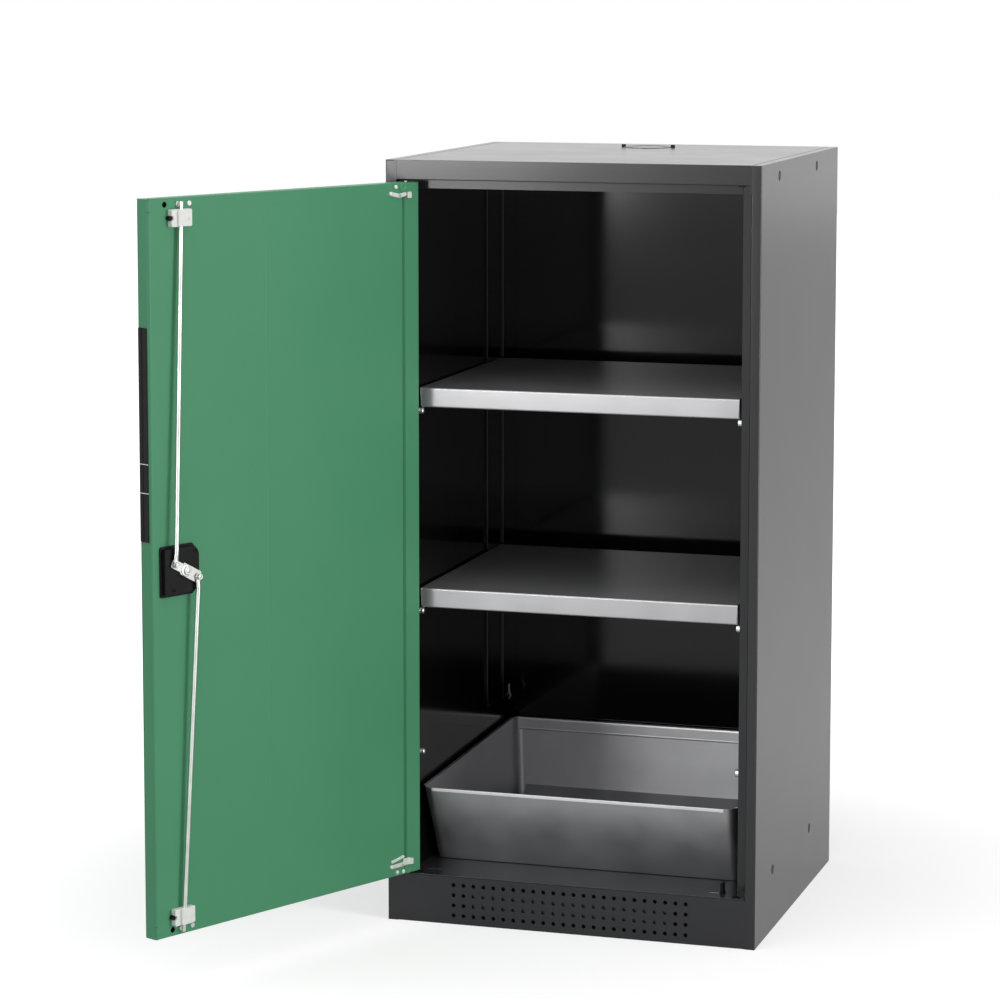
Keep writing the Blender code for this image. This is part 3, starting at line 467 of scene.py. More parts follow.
class Workpiece:
    """Mesh on the bench: takes solids one by one and ends as a piece."""

    def __init__(self) -> None:
        """Start with nothing."""
        self.mesh = bmesh.new()

    def skin(self, rings: list[list[Spot]], capped: bool, ease: float, place: Matrix) -> "Workpiece":
        """Add the solid that a skin over rings of points makes.

        Args:
            rings: rings with the same number of points; a single point makes a pole.
            capped: whether the first and the last ring are closed with a face.
            ease: how far the solid's sharp edges are rounded, in metres.
            place: where the solid goes.

        Returns:
            This workpiece.
        """
        solid = bmesh.new()
        count = max(len(ring) for ring in rings)
        corners = []
        for ring in rings:
            made = [solid.verts.new(point) for point in ring]
            corners.append(made * (count // len(made)))
        if capped:
            solid.faces.new(list(reversed(corners[0])))
            solid.faces.new(corners[-1])
        for lower, upper in zip(corners, corners[1:]):
            for i in range(count):
                j = (i + 1) % count
                face = list(dict.fromkeys((lower[i], lower[j], upper[j], upper[i])))
                if len(face) > 2:
                    solid.faces.new(face)
        if not capped:
            bmesh.ops.remove_doubles(solid, verts=solid.verts, dist=SAME_POINT)
        bmesh.ops.recalc_face_normals(solid, faces=solid.faces)
        if ease > 0:
            sharp = [e for e in solid.edges if e.calc_face_angle(0.0) > SHARP_ANGLE]
            rounding = {"offset": ease, "segments": 2, "profile": 0.5, "clamp_overlap": True}
            bmesh.ops.bevel(solid, geom=sharp, affect="EDGES", **rounding)
        solid.transform(place)
        spare = bpy.data.meshes.new("spare")
        solid.to_mesh(spare)
        solid.free()
        self.mesh.from_mesh(spare)
        bpy.data.meshes.remove(spare)
        return self

    def plate(
        self, outline: Outline, low: float, high: float, ease: float = 0.0, place: Matrix = HERE
    ) -> "Workpiece":
        """Add a plate cut to an outline.

        Args:
            outline: its outline in x and y.
            low: level of its underside.
            high: level of its top.
            ease: how far its edges are rounded.
            place: where it goes.

        Returns:
            This workpiece.
        """
        rings = [[(x, y, level) for x, y in outline] for level in (low, high)]
        return self.skin(rings, True, ease, place)

    def lathe(self, profile: Outline, place: Matrix, sides: int = 24, ease: float = 0.0) -> "Workpiece":
        """Add a turned solid.

        Args:
            profile: radius and height along the axis, from the lower pole or rim to the upper one;
                a profile that ends where it starts makes a ring.
            place: puts the turning axis, drawn along z, in its place.
            sides: number of facets round the axis.
            ease: how far its edges are rounded.

        Returns:
            This workpiece.
        """
        turns = [2 * math.pi * i / sides for i in range(sides)]
        rings = []
        for radius, height in profile:
            ring = [(radius * math.cos(a), radius * math.sin(a), height) for a in turns]
            rings.append(ring if radius > 0 else [(0.0, 0.0, height)])
        return self.skin(rings, False, ease, place)

    def tube(self, path: list[Vector], radii: list[Pair], up: Vector, sides: int = 16) -> "Workpiece":
        """Add a bar along a path, its section an ellipse that may change on the way.

        Args:
            path: points along its middle.
            radii: half width across and along `up` at each point.
            up: direction that the second half width is measured in.
            sides: number of facets round the bar.

        Returns:
            This workpiece.
        """
        turns = [2 * math.pi * i / sides for i in range(sides)]
        rings = []
        for i, (point, (half_a, half_b)) in enumerate(zip(path, radii)):
            along = (path[min(i + 1, len(path) - 1)] - path[max(i - 1, 0)]).normalized()
            across = along.cross(up).normalized()
            rise = across.cross(along).normalized()
            rings.append([point + across * half_a * math.cos(a) + rise * half_b * math.sin(a) for a in turns])
        return self.skin(rings, True, 0.0, HERE)

    def piece(self, name: str, place: Matrix = HERE) -> Item:
        """Hand the mesh over as an object with smooth rounds and flat faces.

        Args:
            name: name of the piece.
            place: where the whole drawing goes; a mirrored drawing is turned right side out.

        Returns:
            The new object, at the origin.
        """
        self.mesh.transform(place)
        if place.determinant() < 0:
            bmesh.ops.reverse_faces(self.mesh, faces=self.mesh.faces)
        mesh = bpy.data.meshes.new(name)
        self.mesh.to_mesh(mesh)
        self.mesh.free()
        return shaded(mesh, name)


def shaded(mesh: bpy.types.Mesh, name: str, bevel: float = 0.0) -> Item:
    """Make an object whose flats stay flat and whose rounds look round.

    Args:
        mesh: the mesh, whose edges carry bevel weights where bevel is above 0.
        name: name of the object.
        bevel: radius at a bevel weight of 1, in metres.

    Returns:
        The new object with its modifiers turned into plain mesh.
    """
    item = bpy.data.objects.new(name, mesh)
    bpy.context.scene.collection.objects.link(item)
    mesh.polygons.foreach_set("use_smooth", [True] * len(mesh.polygons))
    if bevel > 0:
        roll = item.modifiers.new("roll", "BEVEL")
        roll.limit_method = "WEIGHT"
        roll.width = bevel
        roll.segments = 3
        roll.use_clamp_overlap = False
    else:
        mesh.set_sharp_from_angle(angle=CREASE_ANGLE)
    item.modifiers.new("weigh", "WEIGHTED_NORMAL").keep_sharp = True
    return baked(item)


def baked(item: Item) -> Item:
    """Turn an object's modifiers into plain mesh, and give the same object."""
    graph = bpy.context.evaluated_depsgraph_get()
    mesh = bpy.data.meshes.new_from_object(item.evaluated_get(graph))
    item.modifiers.clear()
    old = item.data
    item.data = mesh
    bpy.data.meshes.remove(old)
    mesh.name = item.name
    return item


@dataclass(frozen=True)
class FoldedSheet:
    """A CAD sheet whose folds are rolled round and whose cut rims are eased."""

    node: str
    fold: float = 1.3 * MM
    inner_fold: float = 0.5 * MM
    rim: float = 0.35 * MM
    rim_width: float = 2.2 * MM
    seats: tuple[str, ...] = ()
    seat_growth: float = 1.35
    seat_reach: float = 0.6
    weld: float = 0.01 * MM
    flat_angle: float = math.radians(0.5)

    def widen(self, work: bmesh.types.BMesh) -> None:
        """Widen the holes round the seated nodes, whose axes run along x, in the merged sheet."""
        for node in self.seats:
            low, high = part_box(node)
            middle = (low + high) / 2
            for point in work.verts:
                away = Vector((0.0, point.co.y - middle.y, point.co.z - middle.z))
                if away.length < self.seat_reach * (high.z - low.z):
                    point.co += (self.seat_growth - 1.0) * away

    def weight(self, edge: bmesh.types.BMEdge, widths: dict[int, float]) -> float:
        """Bevel weight of an edge.

        Args:
            edge: edge of the merged sheet.
            widths: width of each face by its number.

        Returns:
            Its radius as a share of the fold radius, 0 for an edge that stays.
        """
        if len(edge.link_faces) != 2 or edge.calc_face_angle(0.0) < SHARP_ANGLE:
            return 0.0
        if min(widths[face.index] for face in edge.link_faces) < self.rim_width:
            return self.rim / self.fold
        return 1.0 if edge.is_convex else self.inner_fold / self.fold

    def held_inside(self, item: Item, place: Matrix) -> None:
        """Pull stray points of rolled corners back into the node's own box.

        Args:
            item: the finished sheet.
            place: frame in which the sheet lies square.
        """
        back = place.inverted()
        low, high = box_in(self.node, place)
        for point in item.data.vertices:
            spot = back @ point.co
            held = Vector([min(max(spot[axis], low[axis]), high[axis]) for axis in range(3)])
            point.co = place @ held

    def piece(self, name: str, place: Matrix = HERE) -> Item:
        """Build the finished sheet.

        Args:
            name: name of the piece.
            place: frame in which the sheet lies square.

        Returns:
            The new object, in the node's place.
        """
        work = bmesh.new()
        work.from_mesh(frame["nodes"][self.node].data)
        bmesh.ops.remove_doubles(work, verts=work.verts, dist=self.weld)
        bmesh.ops.dissolve_limit(work, angle_limit=self.flat_angle, verts=work.verts, edges=work.edges)
        self.widen(work)
        work.faces.index_update()
        widths = {f.index: f.calc_area() / max(e.calc_length() for e in f.edges) for f in work.faces}
        layer = work.edges.layers.float.new("bevel_weight_edge")
        for edge in work.edges:
            edge[layer] = self.weight(edge, widths)
        mesh = bpy.data.meshes.new(name)
        work.to_mesh(mesh)
        work.free()
        item = shaded(mesh, name, self.fold)
        self.held_inside(item, place)
        return item


class PaintShop:
    """Keeps one material for each finish and hands pieces over dressed."""

    def __init__(self) -> None:
        """Start without materials."""
        self.made: dict[str, Material] = {}
        self.count = 0

    def material(self, finish: Finish) -> Material:
        """Material of a finish, built at its first use."""
        if finish.name not in self.made:
            self.made[finish.name] = finish.material()
        return self.made[finish.name]

    def dress(self, item: Item, finish: Finish, body: str, *nodes: str) -> None:
        """Give a piece its finish, its body and the CAD nodes that it stands for.

        Args:
            item: the piece.
            finish: its finish.
            body: name of the CAD body that it moves with.
            nodes: CAD nodes that it replaces.
        """
        item.data.materials.clear()
        item.data.materials.append(self.material(finish))
        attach(item, body)
        if nodes:
            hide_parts(*nodes)
        self.count += 1
        LOG.info("%s: %s, rides on %s, %d faces", item.name, finish.name, body, len(item.data.polygons))

    def keep(self, node: str, finish: Finish) -> None:
        """Give a CAD node that stays its finish."""
        for place in frame["nodes"][node].material_slots:
            place.material = self.material(finish)
        LOG.info("%s: CAD node kept, %s", node, finish.name)


class SizedTree:
    """Geometry Nodes tree with named sizes that ends in one finished mesh."""

    KINDS = {float: "NodeSocketFloat", int: "NodeSocketInt"}

    def __init__(self, name: str, sizes: dict[str, float | int]) -> None:
        """Make the tree with its inputs.

        Args:
            name: name of the tree.
            sizes: names and values of its inputs.
        """
        self.name = name
        self.sizes = sizes
        self.tree = bpy.data.node_groups.new(name, "GeometryNodeTree")
        face = self.tree.interface
        face.new_socket("Places", in_out="INPUT", socket_type="NodeSocketGeometry")
        face.new_socket("Result", in_out="OUTPUT", socket_type="NodeSocketGeometry")
        self.keys = {}
        for label, value in sizes.items():
            socket = face.new_socket(label, in_out="INPUT", socket_type=self.KINDS[type(value)])
            self.keys[label] = socket.identifier
        self.given = self.tree.nodes.new("NodeGroupInput").outputs

    def add(self, kind: str, settings: dict[str, object] | None = None, **inputs: object) -> Socket:
        """Add a node and give its first output; an underscore in an input's name stands for a space."""
        named = {key.replace("_", " "): value for key, value in inputs.items()}
        return add_node(self.tree, kind, settings, named).outputs[0]

    def join(self, *parts: Socket) -> Socket:
        """Join several geometries."""
        node = self.tree.nodes.new("GeometryNodeJoinGeometry")
        for part in parts:
            self.tree.links.new(part, node.inputs[0])
        return node.outputs[0]

    def maths(self, operation: str, first: object, second: object) -> Socket:
        """Work a sum out of two values or sockets."""
        return maths(self.tree, operation, first, second)

    def run(self, result: Socket, name: str, material: Material, places: bpy.types.Mesh) -> Item:
        """Close the tree, run it and turn what it makes into plain mesh.

        Args:
            result: the geometry that the tree has made.
            name: name of the piece.
            material: material that the tree sets.
            places: mesh whose points the tree works from.

        Returns:
            The piece, without modifiers.
        """
        real = self.add("GeometryNodeRealizeInstances", Geometry=result)
        painted = self.add("GeometryNodeSetMaterial", Geometry=real, Material=material)
        out = self.tree.nodes.new("NodeGroupOutput")
        self.tree.links.new(painted, out.inputs[0])
        item = bpy.data.objects.new(name, places)
        modifier = item.modifiers.new(self.name, "NODES")
        modifier.node_group = self.tree
        for label, value in self.sizes.items():
            modifier[self.keys[label]] = value
        bpy.context.scene.collection.objects.link(item)
        return baked(item)


def points_mesh(places: list[Vector], facing: list[Vector]) -> bpy.types.Mesh:
    """Make a mesh of loose points that each know which way they face."""
    mesh = bpy.data.meshes.new("places")
    mesh.from_pydata([tuple(p) for p in places], [], [])
    values = mesh.attributes.new("facing", "FLOAT_VECTOR", "POINT")
    values.data.foreach_set("vector", [c for direction in facing for c in direction])
    return mesh


@dataclass
class Fasteners:
    """Round heads with an eased rim and a shank, set at many places: studs, rivets and plugs."""

    head_radius: float
    head_height: float
    rim_share: float = 0.4
    crown_share: float = 0.72
    shank_radius: float = 1.0 * MM
    shank_length: float = 1.0 * MM
    sides: int = 20

    def piece(self, name: str, material: Material, places: list[Vector], facing: list[Vector]) -> Item:
        """Build all of them as one piece.

        Args:
            name: name of the piece.
            material: its material.
            places: middle of each head's underside.
            facing: direction of each head.

        Returns:
            The new object.
        """
        sizes = {
            "Head radius": self.head_radius,
            "Head height": self.head_height,
            "Rim share": self.rim_share,
            "Crown share": self.crown_share,
            "Shank radius": self.shank_radius,
            "Shank length": self.shank_length,
            "Sides": self.sides,
        }
        tree = SizedTree(f"{name}_tree", sizes)
        given = tree.given
        radius, height = given["Head radius"], given["Head height"]
        shank, length = given["Shank radius"], given["Shank length"]
        rim = tree.maths("MULTIPLY", height, given["Rim share"])
        crown = tree.maths("MULTIPLY", radius, given["Crown share"])
        solids = (
            (radius, radius, rim, 0.0),
            (radius, crown, tree.maths("SUBTRACT", height, rim), rim),
            (shank, shank, length, tree.maths("MULTIPLY", length, -1.0)),
        )
        parts = []
        for foot, top, tall, level in solids:
            ends = {"Radius_Bottom": foot, "Radius_Top": top, "Depth": tall}
            cone = tree.add("GeometryNodeMeshCone", Vertices=given["Sides"], **ends)
            rise = tree.add("ShaderNodeCombineXYZ", Z=level)
            parts.append(tree.add("GeometryNodeTransform", Geometry=cone, Translation=rise))
        shape = tree.join(*parts)
        aim = tree.add("GeometryNodeInputNamedAttribute", {"data_type": "FLOAT_VECTOR"}, Name="facing")
        turn = tree.add("FunctionNodeAlignRotationToVector", {"axis": "Z"}, Vector=aim)
        heads = {"Points": given["Places"], "Instance": shape, "Rotation": turn}
        spread = tree.add("GeometryNodeInstanceOnPoints", **heads)
        item = tree.run(spread, name, material, points_mesh(places, facing))
        item.data.polygons.foreach_set("use_smooth", [True] * len(item.data.polygons))
        item.data.set_sharp_from_angle(angle=SHARP_ANGLE)
        return item


class DoorPlan:
    """Door drawn shut and flat: s from the hinge edge, z up, lift off the inside face."""

    def __init__(self) -> None:
        """Take the hinge from the record and the leaf's edges from the CAD."""
        hinge = next(joint for joint in frame["joints"] if joint["name"] == "door_hinge")
        axis = Matrix.Translation(Vector(hinge["pos_m"]))
        opened = Matrix.Rotation(-math.radians(hinge["range_deg"][1]), 4, "Z")
        turn = axis @ opened @ axis.inverted()
        low, high = box_in("door_outer_skin", turn)
        face = Matrix(((1, 0, 0, low.x), (0, 0, 1, high.y), (0, 1, 0, 0), (0, 0, 0, 1)))
        self.place = turn @ face
        self.lift = (self.place.to_3x3() @ Vector((0, 0, 1))).normalized()

    def box(self, node: str) -> tuple[Vector, Vector]:
        """Lowest and highest corner of a door node in the drawing, as s, z and lift."""
        return box_in(node, self.place)

    def joint(self, name: str) -> Vector:
        """Place of a joint in the drawing."""
        return self.place.inverted() @ joint_place(name)


DOOR = DoorPlan()


# Finishes of this cabinet

# Even dark grey with a soft sheen: the coat shows its fine peel only where light grazes it.
BODY_COAT = PowderCoat("dark_grey_powder_coat", "dark_lacquer", "#2C2C2F", "#2F2F32", 0.18, 0.21)
# Near black and glossy: long soft reflections with a slight waver.
INNER_COAT = PowderCoat(
    "near_black_gloss_lacquer",
    "inner_lacquer",
    "#0B0A0A",
    "#0E0D0D",
    0.10,
    0.12,
    peel_mm=6.0,
    peel_depth_mm=0.003,
    ior=1.42,
)
# Clear mid green with a satin sheen, the same shade all over.
DOOR_COAT = PowderCoat("green_powder_coat", "door_lacquer", "#4B906A", "#4D926C", 0.36, 0.40, ior=1.33)
# Pale satin metal with fine streaks across, which spread highlights sideways.
SHELF_COAT = ZincPlate(
    "satin_zinc_sheet",
    "shelf_lacquer",
    "#B6B5B8",
    "#BBBABD",
    0.32,
    0.36,
    cloud_mm=60.0,
    streak_mm=1.2,
    streak_depth_mm=0.003,
    streak_run=(40.0, 1.0, 1.0),
    metallic=0.72,
)
# Bright plating: clear highlights with cool, cloudy passages.
BRIGHT_ZINC = ZincPlate(
    "bright_zinc_plating",
    "bright_zinc",
    "#D2D5D0",
    "#DEE0DB",
    0.30,
    0.36,
    cloud_mm=24.0,
    streak_depth_mm=0.0008,
)
# Dull whitish casting: its grain breaks every highlight.
CAST_ZINC = ZincPlate(
    "passivated_zinc_casting",
    "bright_zinc",
    "#DCE0DA",
    "#E8ECE6",
    0.42,
    0.52,
    cloud_mm=5.0,
    streak_mm=0.6,
    streak_depth_mm=0.01,
    streak_run=(1.0, 1.0, 1.0),
    metallic=0.3,
)
# Rolled steel: a wide soft sheen that runs along the sheet.
TRAY_STEEL = ZincPlate(
    "satin_rolled_steel_sheet",
    "tray_lacquer",
    "#C2C2C5",
    "#CACACD",
    0.42,
    0.50,
    cloud_mm=55.0,
    streak_mm=1.6,
    streak_depth_mm=0.01,
    streak_run=(30.0, 30.0, 1.0),
)
# Black plastic: small dull highlights over a mould's grain.
BLACK_PLASTIC = MouldedPlastic(
    "black_moulded_plastic", "black_plastic", "#0E0E0F", "#131314", 0.34, 0.46, ior=1.25
)
# Rubber: a deep matt black that hardly answers the light.
GRIP_RUBBER = MouldedPlastic(
    "matt_black_rubber", "black_plastic", "#0D0B0B", "#120F10", 0.62, 0.72, grain_mm=0.9, ior=1.33
)
# Painted shade: a dark fleece without any gloss behind the intake holes, which stands for the shade inside
# the plinth.
SHADE_FLEECE = MouldedPlastic(
    "painted_shade_fleece",
    "black_plastic",
    "#0C0C0C",
    "#161616",
    0.85,
    0.95,
    grain_mm=1.6,
    grain_depth_mm=0.3,
    patch_mm=4.0,
    ior=1.3,
)
# White plastic: clean and bright with a faint satin gloss.
WHITE_PLASTIC = MouldedPlastic("white_moulded_plastic", "white_plastic", "#E6E7E2", "#EFEFEC", 0.34, 0.44)

FINISHES = {
    finish.slot: finish
    for finish in (
        BODY_COAT,
        INNER_COAT,
        DOOR_COAT,
        SHELF_COAT,
        BRIGHT_ZINC,
        TRAY_STEEL,
        BLACK_PLASTIC,
        WHITE_PLASTIC,
    )
}


@dataclass(frozen=True)
class SoftBox:
    """Soft box of the studio: place, point it faces, size and watts; some show only as a highlight."""

    name: str
    place: Triple
    aim: Triple
    size: Pair
    power: float
    gloss_only: bool = False


SOFT_BOXES = (
    SoftBox("top_box", (-0.3, -1.0, 3.4), (-0.1, -0.2, 0.4), (2.4, 2.4), 22.0),
    SoftBox("right_box", (3.1, -1.1, 0.75), (-0.4, -0.5, 0.5), (1.1, 2.0), 54.0),
    SoftBox("left_box", (-2.8, -1.2, 2.4), (-0.6, -0.5, 0.0), (1.6, 1.6), 18.0),
    SoftBox("left_front_box", (-2.2, -4.9, 1.55), (-0.2, -0.3, 0.9), (1.5, 1.8), 88.0, gloss_only=True),
)


@dataclass
class Studio:
    """Plain pale floor, soft light and the camera at the photograph's angle."""

    floor_reach: float = 14.0
    floor_colours: tuple[str, str] = ("#C4C4C4", "#C6C6C6")
    fibre_mm: float = 30.0
    near_glow: float = 0.50
    far_glow: float = 1.0
    mirrored_glow: float = 0.28
    near_reach: float = 0.4
    far_reach: float = 1.9
    room_light: float = 0.62
    camera_place: Triple = (1.32028, -4.91388, 1.37929)
    camera_yaw: float = 0.30833
    camera_pitch: float = 0.12498
    camera_roll: float = -0.0011
    lens_mm: float = 124.87
    sensor_mm: float = 36.0
    shift: Pair = (0.04, -0.10)

    def rays(self, tree: Tree) -> tuple[Socket, Socket]:
        """Add a switch for rays that show the surroundings.

        Args:
            tree: node tree of the floor or the room.

        Returns:
            A socket that is 1 for rays from the camera, and one that is 1 for mirrored and passed rays.
        """
        rays = add_node(tree, "ShaderNodeLightPath").outputs
        mirrored = maths(tree, "MAXIMUM", rays["Is Glossy Ray"], rays["Is Transmission Ray"])
        return rays["Is Camera Ray"], mirrored

    def floor(self) -> None:
        """Lay the floor: matt pale paper that glows a little to the camera and keeps the shadow."""
        reach = self.floor_reach
        mesh = bpy.data.meshes.new("studio_floor")
        corners = [(-reach, -reach, 0), (reach, -reach, 0), (reach, reach, 0), (-reach, reach, 0)]
        mesh.from_pydata(corners, [], [(0, 1, 2, 3)])
        item = bpy.data.objects.new("studio_floor", mesh)
        bpy.context.scene.collection.objects.link(item)
        material, tree = new_material("matt_studio_paper")
        colour = two_tone(tree, noise_node(tree, self.fibre_mm, 2.0), *self.floor_colours)
        matt = add_node(tree, "ShaderNodeBsdfDiffuse", None, {"Color": colour, "Roughness": 0.9})
        place = add_node(tree, "ShaderNodeTexCoord").outputs["Object"]
        away = add_node(tree, "ShaderNodeVectorMath", {"operation": "LENGTH"}, {0: place}).outputs["Value"]
        span = {"Value": away, "From Min": self.near_reach, "From Max": self.far_reach}
        span |= {"To Min": self.near_glow, "To Max": self.far_glow}
        spread = add_node(tree, "ShaderNodeMapRange", {"interpolation_type": "SMOOTHSTEP"}, span).outputs[0]
        camera, mirrored = self.rays(tree)
        gloss = maths(tree, "MULTIPLY", mirrored, self.mirrored_glow)
        level = maths(tree, "MULTIPLY_ADD", camera, spread, gloss)
        glow = add_node(tree, "ShaderNodeEmission", None, {"Strength": level})
        both = add_node(tree, "ShaderNodeAddShader", None, {0: matt.outputs[0], 1: glow.outputs[0]})
        add_node(tree, "ShaderNodeOutputMaterial", None, {"Surface": both.outputs[0]})
        mesh.materials.append(material)

    def room(self) -> None:
        """Set the white room: full white where it is seen, a plain level where it lights."""
        world = bpy.data.worlds.new("white_room")
        world.use_nodes = True
        tree = world.node_tree
        tree.nodes.clear()
        span = {"Value": maths(tree, "MAXIMUM", *self.rays(tree)), "To Min": self.room_light, "To Max": 1.0}
        level = add_node(tree, "ShaderNodeMapRange", None, span).outputs[0]
        white = {"Color": (1.0, 1.0, 1.0, 1.0), "Strength": level}
        back = add_node(tree, "ShaderNodeBackground", None, white)
        add_node(tree, "ShaderNodeOutputWorld", None, {"Surface": back.outputs[0]})
        bpy.context.scene.world = world

    def lamp(self, box: SoftBox) -> None:
        """Hang a soft box."""
        data = bpy.data.lights.new(box.name, "AREA")
        data.shape = "RECTANGLE"
        data.size, data.size_y = box.size
        data.energy = box.power
        item = bpy.data.objects.new(box.name, data)
        item.location = box.place
        item.rotation_euler = (Vector(box.aim) - Vector(box.place)).to_track_quat("-Z", "Y").to_euler()
        item.visible_camera = False
        item.visible_diffuse = not box.gloss_only
        bpy.context.scene.collection.objects.link(item)

    def camera(self) -> None:
        """Set the camera up as it stood for the photograph."""
        data = bpy.data.cameras.new("camera")
        data.sensor_width = self.sensor_mm
        data.lens = self.lens_mm
        data.shift_x, data.shift_y = self.shift
        data.dof.use_dof = False
        item = bpy.data.objects.new("camera", data)
        yaw, pitch, roll = self.camera_yaw, self.camera_pitch, self.camera_roll
        flat = math.cos(pitch)
        forward = Vector((-math.sin(yaw) * flat, math.cos(yaw) * flat, -math.sin(pitch)))
        level = Vector((math.cos(yaw), math.sin(yaw), 0.0))
        rise = level.cross(forward)
        right = level * math.cos(roll) + rise * math.sin(roll)
        up = rise * math.cos(roll) - level * math.sin(roll)
        turn = Matrix((right, up, -forward)).transposed().to_4x4()
        item.matrix_world = Matrix.Translation(self.camera_place) @ turn
        bpy.context.scene.collection.objects.link(item)
        bpy.context.scene.camera = item

    def build(self) -> None:
        """Set up the whole studio."""
        self.floor()
        self.room()
        for box in SOFT_BOXES:
            self.lamp(box)
        self.camera()
        bpy.context.scene.view_settings.view_transform = "Standard"
        LOG.info("studio: floor, white room, %d soft boxes, camera", len(SOFT_BOXES))


@dataclass
class Assembly:
    """Part of the cabinet that is built and dressed in one go."""

    shop: PaintShop

    def coat(self, node: str, finish: Finish, body: str, place: Matrix = HERE, **sizes: object) -> None:
        """Dress a CAD sheet with its folds rolled round.

        Args:
            node: the CAD node.
            finish: its finish.
            body: name of its CAD body.
            place: frame in which the sheet lies square.
            sizes: sizes of the folded sheet that differ from the usual ones.
        """
        item = FoldedSheet(node, **sizes).piece(f"{node}_coated", place)
        self.shop.dress(item, finish, body, node)


@dataclass
class CarcassShell(Assembly):
    """Folded outer sheets of the carcass and the riveted back panel."""

    body: str = "carcass"
    sheets: tuple[str, ...] = ("top_panel", "front_top_rail", "floor_panel", "base_rail")
    wall_fold: float = 2.0 * MM
    seam_over_sheet: float = 0.8 * MM
    seam_over_post: float = 2.6 * MM
    seam_depth: float = 0.04 * MM
    seam_foot: float = 2.6 * MM
    seam_top: float = 0.6 * MM
    back: str = "rear_wall"
    back_sink: float = 1.0 * MM
    rivet_inset: float = 12.0 * MM
    rivet_columns: int = 5
    rivet_rows: int = 9
    rivet_radius: float = 3.2 * MM

    def back_panel(self) -> None:
        """Back panel, sunk a little so that its rivet heads stay inside the carcass."""
        low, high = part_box(self.back)
        outline = rounded_box((low.x, low.z), (high.x, high.z), MM, 2)
        work = Workpiece().plate(outline, self.back_sink - high.y, self.back_sink - low.y, EASE, ALONG_Y)
        self.shop.dress(work.piece("back_panel_coated"), BODY_COAT, self.body, self.back)
        left, right = low.x + self.rivet_inset, high.x - self.rivet_inset
        bottom, top = low.z + self.rivet_inset, high.z - self.rivet_inset
        places = []
        for i in range(self.rivet_columns):
            x = left + (right - left) * i / (self.rivet_columns - 1)
            places += [Vector((x, high.y - self.back_sink, z)) for z in (bottom, top)]
        for i in range(1, self.rivet_rows - 1):
            z = bottom + (top - bottom) * i / (self.rivet_rows - 1)
            places += [Vector((x, high.y - self.back_sink, z)) for x in (left, right)]
        heads = Fasteners(self.rivet_radius, 0.9 * self.back_sink, shank_length=0.5 * MM)
        facing = [Vector((0, 1, 0))] * len(places)
        rivets = heads.piece("back_rivets", self.shop.material(BODY_COAT), places, facing)
        self.shop.dress(rivets, BODY_COAT, self.body)

    def seams(self) -> None:
        """Filled and coated joints between the posts and the front sheets."""
        for side in Side:
            work = Workpiece()
            for node in ("front_top_rail", "plinth_front"):
                low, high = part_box(node)
                edge = side.pick(low.x, high.x)
                inner = edge - side.value * self.seam_over_sheet
                span = sorted((inner, edge + side.value * self.seam_over_post))
                face = low.y + self.seam_depth
                outline = rounded_box((span[0], face), (span[1], face + MM), FAINT, 1)
                work.plate(outline, low.z + self.seam_foot, high.z - self.seam_top)
            self.shop.dress(work.piece(f"front_joint_{side.label}"), BODY_COAT, self.body)

    def build(self) -> None:
        """Build and dress the outer sheets."""
        for side in Side:
            seats = tuple(f"wall_plug_{side.label}_{number}" for number in range(1, 5))
            self.coat(f"side_wall_{side.label}", BODY_COAT, self.body, fold=self.wall_fold, seats=seats)
        for node in self.sheets:
            self.coat(node, BODY_COAT, self.body)
        self.seams()
        self.back_panel()


@dataclass
class InnerLining(Assembly):
    """Glossy near-black inner walls and the stepped air ducts at the rear."""

    body: str = "carcass"
    sheets: tuple[str, ...] = (
        "inner_wall_left",
        "inner_wall_right",
        "rear_liner",
        "duct_cover_left",
        "duct_cover_right",
    )
    clip_height: float = 24.0 * MM
    clip_width: float = 5.0 * MM
    clip_thickness: float = 1.0 * MM
    clip_reach: float = 100.0 * MM

    def duct_clips(self) -> None:
        """Spring clips that hold the ducts' lower ends."""
        for side in Side:
            low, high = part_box(f"duct_cover_{side.label}")
            face = side.pick(high.x, low.x)
            middle = low.y + self.clip_reach
            tall = self.clip_height
            foot = low.z - 0.3 * tall
            bend = face - side.value * 2.2 * self.clip_thickness
            path = [(face, foot), (bend, foot + 0.25 * tall), (face, foot + 0.5 * tall), (face, foot + tall)]
            if side is Side.LEFT:
                path.reverse()
            section = bent_sheet(path, self.clip_thickness, 1.8 * self.clip_thickness)
            half = self.clip_width / 2
            work = Workpiece().plate(section, -middle - half, -middle + half, SINK, ALONG_Y)
            self.shop.dress(work.piece(f"duct_clip_{side.label}"), BRIGHT_ZINC, self.body)

    def build(self) -> None:
        """Build and dress the inner sheets."""
        for node in self.sheets:
            self.coat(node, INNER_COAT, self.body)
        self.duct_clips()


